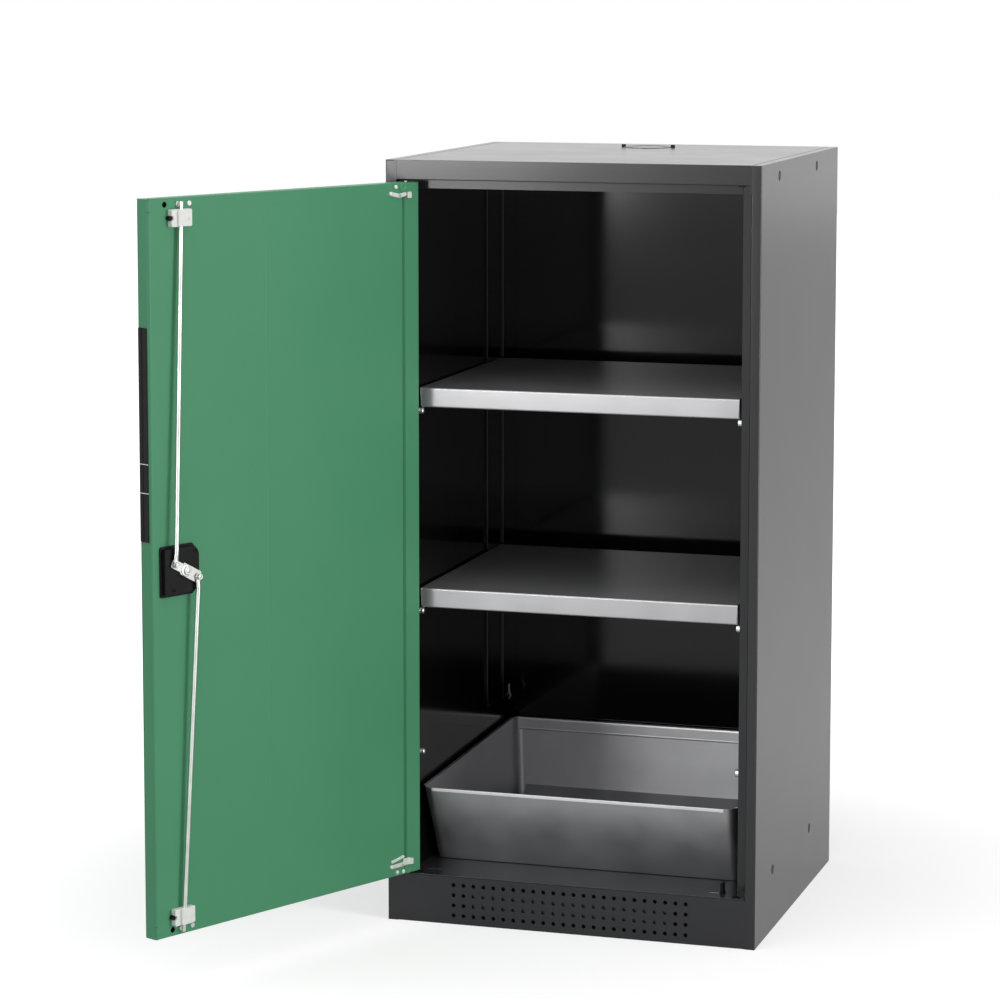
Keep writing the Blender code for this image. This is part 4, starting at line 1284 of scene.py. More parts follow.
@dataclass
class PlinthGrille(Assembly):
    """Plinth front: a plate with rows of round intake holes and a fold under it."""

    node: str = "plinth_front"
    body: str = "carcass"
    sheet: float = 1.5 * MM
    bend: float = 2.5 * MM
    pitch: float = 15.0 * MM
    hole_radius: float = 3.0 * MM
    columns: int = 24
    rows: int = 4
    hole_sides: int = 18
    snug: float = 0.28 * MM
    mat_gap: float = 2.6 * MM
    mat_overlap: float = 8.0 * MM

    def perforated(self, low: Vector, high: Vector) -> Item:
        """Upright plate with the holes.

        Args:
            low: lowest corner of the CAD plinth.
            high: its highest corner.

        Returns:
            The plate.
        """
        sizes = {
            "Width": high.x - low.x + 2 * self.snug,
            "Height": high.z - low.z - self.bend,
            "Thickness": self.sheet,
            "Hole radius": self.hole_radius,
            "Hole sides": self.hole_sides,
            "Columns": self.columns,
            "Rows": self.rows,
            "Pitch": self.pitch,
            "Hole rise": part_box("floor_panel")[1].z / 2,
            "Rest height": low.z + self.bend,
            "Front": low.y,
        }
        tree = SizedTree("perforated_plate", sizes)
        given = tree.given
        edges = {"Width": given["Width"], "Height": given["Height"]}
        plate = tree.add("GeometryNodeCurvePrimitiveQuadrilateral", {"mode": "RECTANGLE"}, **edges)
        half = tree.maths("MULTIPLY", given["Height"], 0.5)
        centre = tree.maths("ADD", given["Rest height"], half)
        spots = {}
        for axis, count in (("X", given["Columns"]), ("Y", given["Rows"])):
            spots[f"Vertices_{axis}"] = count
            steps = tree.maths("SUBTRACT", count, 1)
            spots[f"Size_{axis}"] = tree.maths("MULTIPLY", steps, given["Pitch"])
        grid = tree.add("GeometryNodeMeshGrid", **spots)
        drop = tree.add("ShaderNodeCombineXYZ", Y=tree.maths("SUBTRACT", given["Hole rise"], centre))
        grid = tree.add("GeometryNodeTransform", Geometry=grid, Translation=drop)
        rim = {"Resolution": given["Hole sides"], "Radius": given["Hole radius"]}
        ring = tree.add("GeometryNodeCurvePrimitiveCircle", {"mode": "RADIUS"}, **rim)
        holes = tree.add("GeometryNodeInstanceOnPoints", Points=grid, Instance=ring)
        holes = tree.add("GeometryNodeRealizeInstances", Geometry=holes)
        face = tree.add("GeometryNodeFillCurve", {"mode": "TRIANGLES"}, Curve=tree.join(plate, holes))
        thick = {"Offset_Scale": given["Thickness"]}
        wall = tree.add("GeometryNodeExtrudeMesh", {"mode": "FACES"}, Mesh=face, **thick)
        back = tree.add("GeometryNodeFlipFaces", Mesh=face)
        solid = tree.add("GeometryNodeMergeByDistance", Geometry=tree.join(wall, back), Distance=MM / 1000)
        depth = tree.maths("ADD", given["Front"], given["Thickness"])
        place = tree.add("ShaderNodeCombineXYZ", Y=depth, Z=centre)
        upright = (math.pi / 2, 0.0, 0.0)
        solid = tree.add("GeometryNodeTransform", Geometry=solid, Translation=place, Rotation=upright)
        item = tree.run(solid, "plinth_perforated", self.shop.material(BODY_COAT), points_mesh([], []))
        item.data.shade_flat()
        return item

    def backing(self, low: Vector) -> None:
        """Dark mat close behind the holes, which paints the shade inside the plinth, and the stiffener across
        the middle rows.
        """
        front = low.y + self.sheet + self.mat_gap
        reach = self.columns * self.pitch / 2 + self.mat_overlap
        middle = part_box("floor_panel")[1].z / 2
        tall = self.rows * self.pitch / 2 + self.bend
        near = front + self.mat_gap
        # Painted shade: this dark mat makes the holes read as the shade inside the plinth.
        mat = rounded_box((near, middle - tall), (near + self.mat_gap, middle + tall), MM / 2)
        work = Workpiece().plate(mat, -reach, reach, 0.0, ALONG_X)
        self.shop.dress(work.piece("plinth_shade_mat"), SHADE_FLEECE, self.body)
        strip = rounded_box((front, middle - self.pitch), (front + self.sheet, middle + self.pitch), MM / 2)
        work = Workpiece().plate(strip, -reach + 2.5 * self.pitch, reach - 2.5 * self.pitch, 0.0, ALONG_X)
        self.shop.dress(work.piece("plinth_stiffener"), BODY_COAT, self.body)

    def build(self) -> None:
        """Build and dress the plinth."""
        low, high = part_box(self.node)
        self.backing(low)
        self.shop.dress(self.perforated(low, high), BODY_COAT, self.body, self.node)
        path = [(low.y, low.z + self.bend), (low.y, low.z), (high.y, low.z)]
        section = bent_sheet(path, self.sheet, self.bend - SINK)
        work = Workpiece().plate(section, low.x, high.x, 0.0, ALONG_X)
        self.shop.dress(work.piece("plinth_fold"), BODY_COAT, self.body)


@dataclass
class ExhaustCollar(Assembly):
    """Exhaust opening in the top panel: low rolled rim, blanking disc, and two black blocks at the rim's left
    and right ends that paint the shade on those ends.
    """

    node: str = "exhaust_collar"
    body: str = "carcass"
    bore: float = 35.0 * MM
    wall: float = 2.2 * MM
    rise: float = 0.8 * MM
    foot_thickness: float = 0.3 * MM
    lip: float = 0.4 * MM
    disc_sink: float = 0.3 * MM
    disc_thickness: float = 1.8 * MM
    disc_step: float = 0.5 * MM
    catch_size: Pair = (6.0 * MM, 6.5 * MM)
    sides: int = 72

    def build(self) -> None:
        """Build and dress the rim, the disc and the black blocks of painted shade."""
        low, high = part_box(self.node)
        middle = (low + high) / 2
        panel_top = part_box("top_panel")[1].z
        outer = self.bore + self.wall
        foot = (high.x - low.x) / 2
        top = panel_top + self.rise
        step = panel_top + self.foot_thickness
        profile = [(self.bore, low.z), (outer - self.lip, low.z), (outer - self.lip, panel_top - SINK)]
        profile += [(foot, panel_top - SINK), (foot, step), (outer, step)]
        profile += smooth_arc((outer - self.lip, top - self.lip), self.lip, 0.0, 90.0, 5)
        profile += smooth_arc((self.bore + self.lip, top - self.lip), self.lip, 90.0, 180.0, 4)
        profile.append((self.bore, low.z))
        place = at(middle.x, middle.y)
        work = Workpiece().lathe(profile, place, self.sides)
        face = top - self.disc_sink
        inside = self.bore + SINK
        under = face - self.disc_thickness
        disc = [(0.0, under), (inside, under), (inside, face), (0.9 * inside, face)]
        disc += [(0.86 * inside, face - self.disc_step), (0.0, face - self.disc_step)]
        work.lathe(disc, place, self.sides)
        self.shop.dress(work.piece("exhaust_rim"), BODY_COAT, self.body, self.node)
        # Painted shade: black blocks at the rim's left and right ends stand for the shade on those ends.
        work = Workpiece()
        deep, broad = self.catch_size
        near = outer - 2.0 * MM
        outline = rounded_box((near, -broad / 2), (near + deep, broad / 2), 1.6 * MM)
        for side in Side:
            turn = place @ Matrix.Rotation(side.pick(math.pi, 0.0), 4, "Z")
            work.plate(outline, panel_top - SINK, high.z, 0.8 * MM, turn)
        self.shop.dress(work.piece("exhaust_shade_blocks"), BLACK_PLASTIC, self.body)


@dataclass
class CarcassFittings(Assembly):
    """Small parts on the carcass: plugs, bearings, door buffer and shelf studs."""

    body: str = "carcass"
    plug_crown: float = 0.8 * MM
    plug_growth: float = 1.33
    plug_length: float = 3.0 * MM
    stud_head: float = 4.0 * MM
    stud_short: Pair = (2.2 * MM, 4.6 * MM)
    bearing_reach: float = 34.0 * MM
    bearing_flange: float = 1.7 * MM
    bearing_wall: float = 1.0 * MM
    bore_share: float = 0.32

    def spread(
        self, heads: Fasteners, name: str, finish: Finish, nodes: list[str], facing: int, sink: Pair
    ) -> None:
        """Set a fastener on both side walls at each of its CAD nodes.

        Args:
            heads: the fastener.
            name: name of the piece.
            finish: its finish.
            nodes: CAD nodes that it replaces.
            facing: 1 where the heads face out of the cabinet, -1 where they face in.
            sink: how far the heads' undersides lie inside the nodes' ends, left and right.
        """
        places = []
        ways = []
        for node in nodes:
            low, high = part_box(node)
            side = Side.LEFT if low.x < 0 else Side.RIGHT
            way = facing * side.value
            middle = (low + high) / 2
            middle.x = (high.x if way > 0 else low.x) - way * side.pick(*sink)
            places.append(middle)
            ways.append(Vector((way, 0, 0)))
        item = heads.piece(name, self.shop.material(finish), places, ways)
        self.shop.dress(item, finish, self.body, *nodes)

    def plugs(self) -> None:
        """Press-in plugs of the side walls, their crowns flush with the wall."""
        nodes = [f"wall_plug_{side.label}_{n}" for side in Side for n in range(1, 5)]
        low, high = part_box(nodes[-1])
        radius = self.plug_growth * (high.z - low.z) / 2
        shank = {"shank_radius": 0.5 * radius, "shank_length": self.plug_length}
        heads = Fasteners(radius, self.plug_crown, 0.3, 0.86, **shank)
        sink = (self.plug_crown, self.plug_crown)
        self.spread(heads, "side_wall_plugs", BLACK_PLASTIC, nodes, 1, sink)

    def studs(self) -> None:
        """Turned studs under the shelves, with a flat head and a shank let into the wall."""
        nodes = [name for name in frame["nodes"] if name.startswith("shelf_support_")]
        low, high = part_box(nodes[-1])
        radius = (high.z - low.z) / 2
        length = high.x - low.x - self.stud_head - self.stud_short[0]
        shank = {"shank_radius": radius, "shank_length": length}
        heads = Fasteners(radius, self.stud_head, 0.75, 0.8, sides=28, **shank)
        sink = (self.stud_head + self.stud_short[0], self.stud_head + self.stud_short[1])
        self.spread(heads, "shelf_studs", BRIGHT_ZINC, nodes, -1, sink)

    def bearing(self, end: End, side: Side) -> None:
        """Bearing of a hinge pin: a long block on the hinge side, a round plug on the free side.

        Args:
            end: end of the door opening.
            side: side of the cabinet.
        """
        node = f"hinge_bushing_{end.label}_{side.label}"
        low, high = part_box(node)
        middle = (low + high) / 2
        radius = (high.x - low.x) / 2
        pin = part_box(f"hinge_pin_{end.label}")
        bore = self.bore_share * (pin[1].x - pin[0].x)
        neck = bore + self.bearing_wall
        rise = -end.value
        base = end.pick(low.z, high.z)
        tall = high.z - low.z
        step = tall - self.bearing_flange
        profile = [(bore, 0.0), (neck, 0.0), (neck, step), (radius, step), (radius, tall - EASE)]
        profile += [(radius - EASE, tall), (bore, tall), (bore, 0.0)]
        work = Workpiece().lathe(profile, at(middle.x, middle.y, base) @ frame_on((0, 0, rise)), 28)
        if side is Side.LEFT:
            near = low.x - 4.0 * MM
            outline = rounded_box((near, low.y), (near + self.bearing_reach, high.y), 2.5 * MM)
            face = base + rise * tall
            levels = sorted((face, face - rise * (self.bearing_flange - SINK)))
            work.plate(outline, *levels, EASE)
        item = work.piece(f"hinge_bearing_{end.label}_{side.label}")
        self.shop.dress(item, BLACK_PLASTIC, self.body, node)

    def buffer(self) -> None:
        """Rubber buffer on the ledge that the shut door rests against."""
        low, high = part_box("door_buffer")
        outline = rounded_box((low.x, low.y), (high.x, high.y), 1.6 * MM)
        work = Workpiece().plate(outline, low.z, high.z, 0.9 * MM)
        foot = rounded_box((low.x - 1.5 * MM, low.y + MM), (high.x + 1.5 * MM, high.y), 1.5 * MM)
        work.plate(foot, low.z, low.z + 2.0 * MM, 0.5 * MM)
        self.shop.dress(work.piece("door_buffer_rubber"), BLACK_PLASTIC, self.body, "door_buffer")

    def build(self) -> None:
        """Build and dress the fittings."""
        self.plugs()
        self.studs()
        for end in End:
            for side in Side:
                self.bearing(end, side)
        self.buffer()


@dataclass
class SheetShelf(Assembly):
    """Sheet shelf: one sheet folded at front and rear, and side flanges let in between."""

    node: str
    body: str
    sheet: float = 1.5 * MM
    bend: float = 2.4 * MM
    fold_in: float = 14.0 * MM
    corner_cut: float = 3.5 * MM

    def deck(self, low: Vector, high: Vector) -> Workpiece:
        """Top with its front and rear folds, the returns cut back at the ends."""
        path = [(high.y - self.fold_in, low.z), (high.y, low.z), (high.y, high.z), (low.y, high.z)]
        path += [(low.y, low.z), (low.y + self.fold_in, low.z)]
        section = bent_sheet(path, self.sheet, self.bend)
        work = Workpiece().plate(section, low.x, high.x, 0.0, ALONG_X)
        for point in work.mesh.verts:
            depth = min(point.co.y - low.y, high.y - point.co.y)
            cut = max(0.0, self.corner_cut - (point.co.z - low.z))
            if point.co.z < low.z + 1.2 * self.sheet and depth > self.sheet:
                cut += min(depth, self.fold_in)
            point.co.x -= math.copysign(cut, point.co.x)
        return work

    def flange(self, work: Workpiece, side: Side, low: Vector, high: Vector) -> None:
        """Side flange with its return, let in between the front and rear folds."""
        edge = side.pick(low.x, high.x)
        top = high.z - self.sheet - 0.1 * MM
        path = [(edge, top), (edge, low.z), (edge - side.value * self.fold_in, low.z)]
        if side is Side.RIGHT:
            path.reverse()
        section = bent_sheet(path, self.sheet, self.bend)
        work.plate(section, self.bend - high.y, -self.bend - low.y, EASE, ALONG_Y)

    def build(self) -> None:
        """Build and dress the shelf."""
        low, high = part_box(self.node)
        work = self.deck(low, high)
        for side in Side:
            self.flange(work, side, low, high)
        self.shop.dress(work.piece(f"{self.node}_folded"), SHELF_COAT, self.body, self.node)


@dataclass
class SumpTray(Assembly):
    """Deep tray of satin steel: welded body, hemmed rims and a joggled strip at the rear."""

    node: str = "sump_tray"
    body: str = "tray"
    fold: float = 1.0 * MM
    corner: float = 14.0 * MM
    wall: float = 1.6 * MM
    rim_proud: float = 0.4 * MM
    hem_height: float = 5.5 * MM
    hem_proud: float = 0.8 * MM
    strip_height: float = 20.5 * MM
    strip_proud: float = 4.5 * MM
    strip_flare: float = 0.6 * MM
    flare_height: float = 3.4 * MM
    flange: float = 4.6 * MM
    flange_drop: float = 3.0 * MM
    flange_sheet: float = 0.8 * MM
    fillet: float = 16.0 * MM

    def rim_height(self, depth: float) -> float:
        """Height of the rim, which rises evenly from front to rear."""
        low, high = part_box(self.node)
        points = [v.co for v in frame["nodes"][self.node].data.vertices]
        front = max(p.z for p in points if p.y < low.y + MM)
        return front + (high.z - front) * (depth - low.y) / (high.y - low.y)

    def front_and_rear(self, work: Workpiece) -> None:
        """Hem along the front, strip along the rear and the slope at the strip's foot."""
        low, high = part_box(self.node)
        reach = high.x - self.corner
        front_top = self.rim_height(low.y) + self.rim_proud
        inside = low.y + 1.6 * self.wall
        outside = low.y - self.hem_proud
        hem = rounded_box((outside, front_top - self.hem_height), (inside, front_top), 0.9 * MM)
        work.plate(hem, -reach, reach, EASE, ALONG_X)
        rear = high.y - self.wall
        top = high.z + SINK
        foot = top - self.strip_height
        face = rear - self.strip_proud
        path = [(high.y, top), (face + self.strip_flare, top), (face, top - self.flare_height)]
        path += [(face, foot + self.flare_height), (face - self.strip_flare, foot), (rear, foot)]
        strip = bent_sheet(path, self.wall, self.wall + 0.4 * MM)
        end = reach + 0.5 * self.corner
        work.plate(strip, -end, end, 0.0, ALONG_X)
        floor = low.z + self.wall
        slope = [(rear - self.fillet, floor - SINK), (rear + SINK, floor - SINK)]
        slope += [(rear + SINK, floor + self.fillet), (rear - 0.6 * MM, floor + self.fillet)]
        foot_end = reach - 0.3 * self.corner
        work.plate(slope, -foot_end, foot_end, EASE, ALONG_X)

    def side_rim(self, work: Workpiece, side: Side) -> None:
        """Rolled rim along a side, which rises with the wall."""
        low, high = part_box(self.node)
        inner = high.x - self.wall - SINK
        outer = high.x + self.flange - self.wall
        section = [(inner, 0.0), (inner, -self.flange_drop), (inner + self.wall, -self.flange_drop)]
        section += [(inner + self.wall, -self.flange_sheet), (outer, -self.flange_sheet), (outer, 0.0)]
        start = self.rim_height(low.y + self.corner) + self.rim_proud
        rise = self.rim_height(high.y - self.corner) + self.rim_proud - start
        slope = rise / (high.y - low.y - 2 * self.corner)
        slant = Matrix(((1, 0, 0, 0), (0, 1, 0, 0), (0, slope, 1, 0), (0, 0, 0, 1)))
        slant[2][3] = start - slope * (low.y + self.corner)
        mirror = Matrix.Diagonal((side.value, 1.0, 1.0, 1.0))
        place = slant @ mirror @ ALONG_Y
        work.plate(section, self.corner - high.y, -low.y - self.corner, SINK, place)

    def build(self) -> None:
        """Build and dress the tray."""
        item = FoldedSheet(self.node, fold=self.fold).piece("sump_tray_body")
        self.shop.dress(item, TRAY_STEEL, self.body, self.node)
        work = Workpiece()
        self.front_and_rear(work)
        for side in Side:
            self.side_rim(work, side)
        self.shop.dress(work.piece("sump_tray_rims"), TRAY_STEEL, self.body)


@dataclass
class DoorLeaf(Assembly):
    """Green door leaf: outer skin, grooved inside face and the black grip strip on its free edge."""

    body: str = "door"
    sheets: tuple[str, ...] = ("door_outer_skin", "door_inner_panel")
    grip_node: str = "grip_strip"
    grip_joint_shares: tuple[float, ...] = (0.229, 0.365)
    joint_width: float = 1.2 * MM
    joint_sunk: float = 0.3 * MM
    grip_channel: float = 3.0 * MM
    channel_span: Pair = (26.5 * MM, 35.4 * MM)
    channel_lift: float = -0.3 * MM
    channel_depth: float = 4.6 * MM
    channel_sheet: float = 0.8 * MM
    channel_bend: float = 1.2 * MM
    channel_slope: float = 2.6 * MM
    joint_fill: float = 1.4 * MM
    joint_inset: float = 4.0 * MM
    fill_proud: float = 0.06 * MM
    bead_place: float = 296.0 * MM
    bead_half: float = 1.6 * MM
    bead_rise: float = 0.22 * MM
    bead_edge: float = 0.04 * MM

    def grip(self) -> None:
        """Grip strip in lengths, each a shallow channel between two rounded ribs."""
        low, high = DOOR.box(self.grip_node)
        span = high.y - low.y
        stops = [0.0, *self.grip_joint_shares, 1.0]
        middle = (low.z + high.z) / 2
        half = self.joint_width / 2
        base = rounded_box((low.x, low.z), (low.x + 0.5 * (high.x - low.x), high.z), EASE, 2)
        levels = ((low.z, middle - self.grip_channel / 2), (middle + self.grip_channel / 2, high.z))
        ribs = [rounded_box((low.x, foot), (high.x, head), 0.7 * MM) for foot, head in levels]
        work = Workpiece()
        for start, end in zip(stops, stops[1:]):
            foot = low.y + span * start + (half if start > 0 else 0.0)
            head = low.y + span * end - (half if end < 1 else 0.0)
            work.plate(base, -head, -foot, 0.0, ALONG_Y)
            for rib in ribs:
                work.plate(rib, -head, -foot, 0.25 * MM, ALONG_Y)
        item = work.piece("grip_strip_ribbed", DOOR.place)
        self.shop.dress(item, GRIP_RUBBER, self.body, self.grip_node)
        work = Workpiece()
        insert = rounded_box((low.x, low.z), (high.x - self.joint_sunk, high.z), EASE, 2)
        for share in self.grip_joint_shares:
            z = low.y + span * share
            work.plate(insert, -z - half, -z + half, 0.0, ALONG_Y)
        self.shop.dress(work.piece("grip_strip_joints", DOOR.place), WHITE_PLASTIC, self.body)

    def channel(self) -> None:
        """Trough beside the hinge flange, filled panel joints and the faint upright bead of a stiffener."""
        near, far = self.channel_span
        low, high = DOOR.box("door_inner_panel")
        level = self.channel_lift
        floor = level - self.channel_depth
        path = [(near, level), (near + self.channel_slope, floor), (far, floor)]
        section = bent_sheet(path, self.channel_sheet, self.channel_bend)
        work = Workpiece().plate(section, -high.y, -low.y, 0.0, ALONG_Y)
        half = self.joint_fill / 2
        fill = rounded_box((far, level - MM), (high.x - self.joint_inset, level / 5), FAINT, 1)
        proud = high.x - self.fill_proud
        side = [(high.x - MM, low.z + MM), (proud, low.z + MM)]
        side += [(proud, high.z - self.joint_inset), (high.x - MM, high.z - self.joint_inset)]
        for edge in (low.y, high.y):
            work.plate(fill, -edge - half, -edge + half, 0.0, ALONG_Y)
            work.plate(side, -edge - half, -edge + half, 0.0, ALONG_Y)
        left, right = self.bead_place - self.bead_half, self.bead_place + self.bead_half
        bead = [(left, -0.1 * MM), (right, -0.1 * MM), (right, self.bead_edge)]
        bead += [(right - self.bead_half, self.bead_rise)]
        bead += [(left + 0.4 * self.bead_half, 0.8 * self.bead_rise), (left, self.bead_edge)]
        work.plate(bead, -high.y + 2 * MM, -low.y - 2 * MM, 0.0, ALONG_Y)
        self.shop.dress(work.piece("door_groove_channel", DOOR.place), DOOR_COAT, self.body)

    def build(self) -> None:
        """Build and dress the leaf."""
        for node in self.sheets:
            self.coat(node, DOOR_COAT, self.body, DOOR.place)
        self.grip()
        self.channel()


@dataclass(frozen=True)
class FittingPlan:
    """Where the parts of a hinge fitting lie, as s and depth from the door's end in millimetres."""

    lever: tuple[Pair, ...]
    rivets: tuple[Pair, ...]
    boss: Pair
    latch: tuple[Pair, ...] = ()
    plate: tuple[Pair, ...] = ()


FITTING_PLANS = {
    End.TOP: FittingPlan(
        lever=((57.5, 14.8), (40.5, 18.2), (29.4, 16.2)),
        rivets=((46.4, 5.8),),
        boss=(31.5, 6.6),
    ),
    End.BOTTOM: FittingPlan(
        lever=((60.5, 15.3), (39.6, 15.8), (27.0, 17.0)),
        rivets=((48.2, 5.4), (36.0, 4.6)),
        boss=(26.2, 7.0),
        latch=((58.4, 22.6), (37.2, 26.6)),
        plate=((24.0, 13.8), (37.5, 23.6)),
    ),
}


# Section of the pressed boss: share of its radius, height in millimetres.
BOSS_ROWS = (
    (0.0, 0.0),
    (1.0, 0.0),
    (0.96, 0.9),
    (0.84, 1.6),
    (0.68, 1.8),
    (0.5, 1.2),
    (0.3, 1.0),
    (0.0, 1.0),
)
# Section of the guide's hollow boss: radius and height in millimetres, closed to a ring.
GUIDE_BOSS_ROWS = ((1.2, -1.0), (2.6, -1.0), (2.6, 0.5), (2.2, 0.9), (1.4, 0.9), (1.2, 0.6), (1.2, -1.0))


@dataclass
class HingeFitting(Assembly):
    """Zinc lever with its block, boss and rivets at one end of the hinge edge, and the pin."""

    end: End
    body: str = "door"
    lever_height: float = 5.6 * MM
    lever_lift: float = 2.5 * MM
    latch_lift: float = 2.1 * MM
    latch_share: float = 0.75
    block_depth: float = 17.6 * MM
    block_size: Pair = (7.4 * MM, 9.0 * MM)
    block_lift: float = 4.2 * MM
    plate_lift: float = 3.1 * MM
    boss_radius: float = 7.4 * MM
    rivet_radius: float = 3.1 * MM
    collar_height: float = 3.0 * MM

    def spot(self, place: Pair) -> Pair:
        """Place in the drawing of s and depth from the door's end, both in millimetres."""
        low, high = DOOR.box("door_outer_skin")
        depth = place[1] * MM
        return place[0] * MM, self.end.pick(low.y + depth, high.y - depth)

    def bar(self, work: Workpiece, start: Pair, end: Pair, height: float, lift: float) -> None:
        """Add a flat bar with round ends on the inside face.

        Args:
            work: the workpiece.
            start: place of its first end.
            end: place of its second end.
            height: width of the bar.
            lift: how far its top stands off the face.
        """
        first, last = Vector(start), Vector(end)
        run = last - first
        tilt = math.degrees(math.atan2(run.y, run.x))
        outline = smooth_arc(last, height / 2, tilt - 90, tilt + 90, 6)
        outline += smooth_arc(first, height / 2, tilt + 90, tilt + 270, 6)
        work.plate(outline, EASE, lift, EASE)

    def head(self, work: Workpiece, place: Pair, radius: float, lift: float) -> None:
        """Add a domed rivet head.

        Args:
            work: the workpiece.
            place: its place.
            radius: its radius.
            lift: its height.
        """
        profile = [(0.0, 0.0), (radius, 0.0), (radius, 0.45 * lift), (0.8 * radius, 0.85 * lift)]
        profile += [(0.35 * radius, lift), (0.0, lift)]
        work.lathe(profile, at(*place, SINK), 16)

    def fitting(self) -> Workpiece:
        """Lever, block, rivets and, where the plan has them, the plate and the latch bar."""
        low, _ = DOOR.box(f"hinge_plate_{self.end.label}")
        plan = FITTING_PLANS[self.end]
        lever = [self.spot(place) for place in plan.lever]
        latch = [self.spot(place) for place in plan.latch]
        work = Workpiece()
        for start, stop in zip(lever, lever[1:]):
            self.bar(work, start, stop, self.lever_height, self.lever_lift)
        self.head(work, lever[0], self.rivet_radius, 3.8 * MM)
        wide, tall = self.block_size
        _, level = self.spot((0.0, self.block_depth / MM))
        outline = rounded_box((low.x, level - tall / 2), (low.x + wide, level + tall / 2), MM)
        work.plate(outline, EASE, self.block_lift, 0.5 * MM)
        if plan.plate:
            corners = [self.spot(place) for place in plan.plate]
            work.plate(rounded_box(*corners, 1.4 * MM), EASE, self.plate_lift, 0.4 * MM)
        for place in plan.rivets:
            self.head(work, self.spot(place), self.rivet_radius, 2.2 * MM)
        for start, stop in zip(latch, latch[1:]):
            self.bar(work, start, stop, self.latch_share * self.lever_height, self.latch_lift)
        for place in latch:
            self.head(work, place, self.latch_share * self.rivet_radius, 3.0 * MM)
        return work

    def boss(self) -> Workpiece:
        """Round boss pressed into the sheet over the bearing, with a dished middle."""
        profile = [(share * self.boss_radius, height * MM) for share, height in BOSS_ROWS]
        return Workpiece().lathe(profile, at(*self.spot(FITTING_PLANS[self.end].boss), SINK), 36)

    def pin(self) -> None:
        """Collared pin in the bearing, with a rounded nose."""
        node = f"hinge_pin_{self.end.label}"
        low, high = DOOR.box(node)
        middle = (low + high) / 2
        collar = (high.x - low.x) / 2
        shaft = 0.6 * collar
        tall = high.y - low.y
        step = 0.52 * tall
        end = step + self.collar_height
        profile = [(0.0, 0.0), (shaft, 0.0), (shaft, step), (collar - EASE, step), (collar, step + EASE)]
        profile += [(collar, end - EASE), (collar - EASE, end), (shaft, end)]
        profile += [(shaft, tall - 0.8 * MM), (0.7 * shaft, tall), (0.0, tall)]
        base = at(middle.x, self.end.pick(high.y, low.y), middle.z)
        work = Workpiece().lathe(profile, base @ frame_on((0, self.end.value, 0)), 24)
        self.shop.dress(work.piece(f"{node}_turned", DOOR.place), BRIGHT_ZINC, self.body, node)

    def build(self) -> None:
        """Build and dress the fitting and its pin."""
        item = self.fitting().piece(f"hinge_fitting_{self.end.label}", DOOR.place)
        self.shop.dress(item, CAST_ZINC, self.body, f"hinge_plate_{self.end.label}")
        item = self.boss().piece(f"hinge_boss_{self.end.label}", DOOR.place)
        self.shop.dress(item, DOOR_COAT, self.body)
        self.pin()


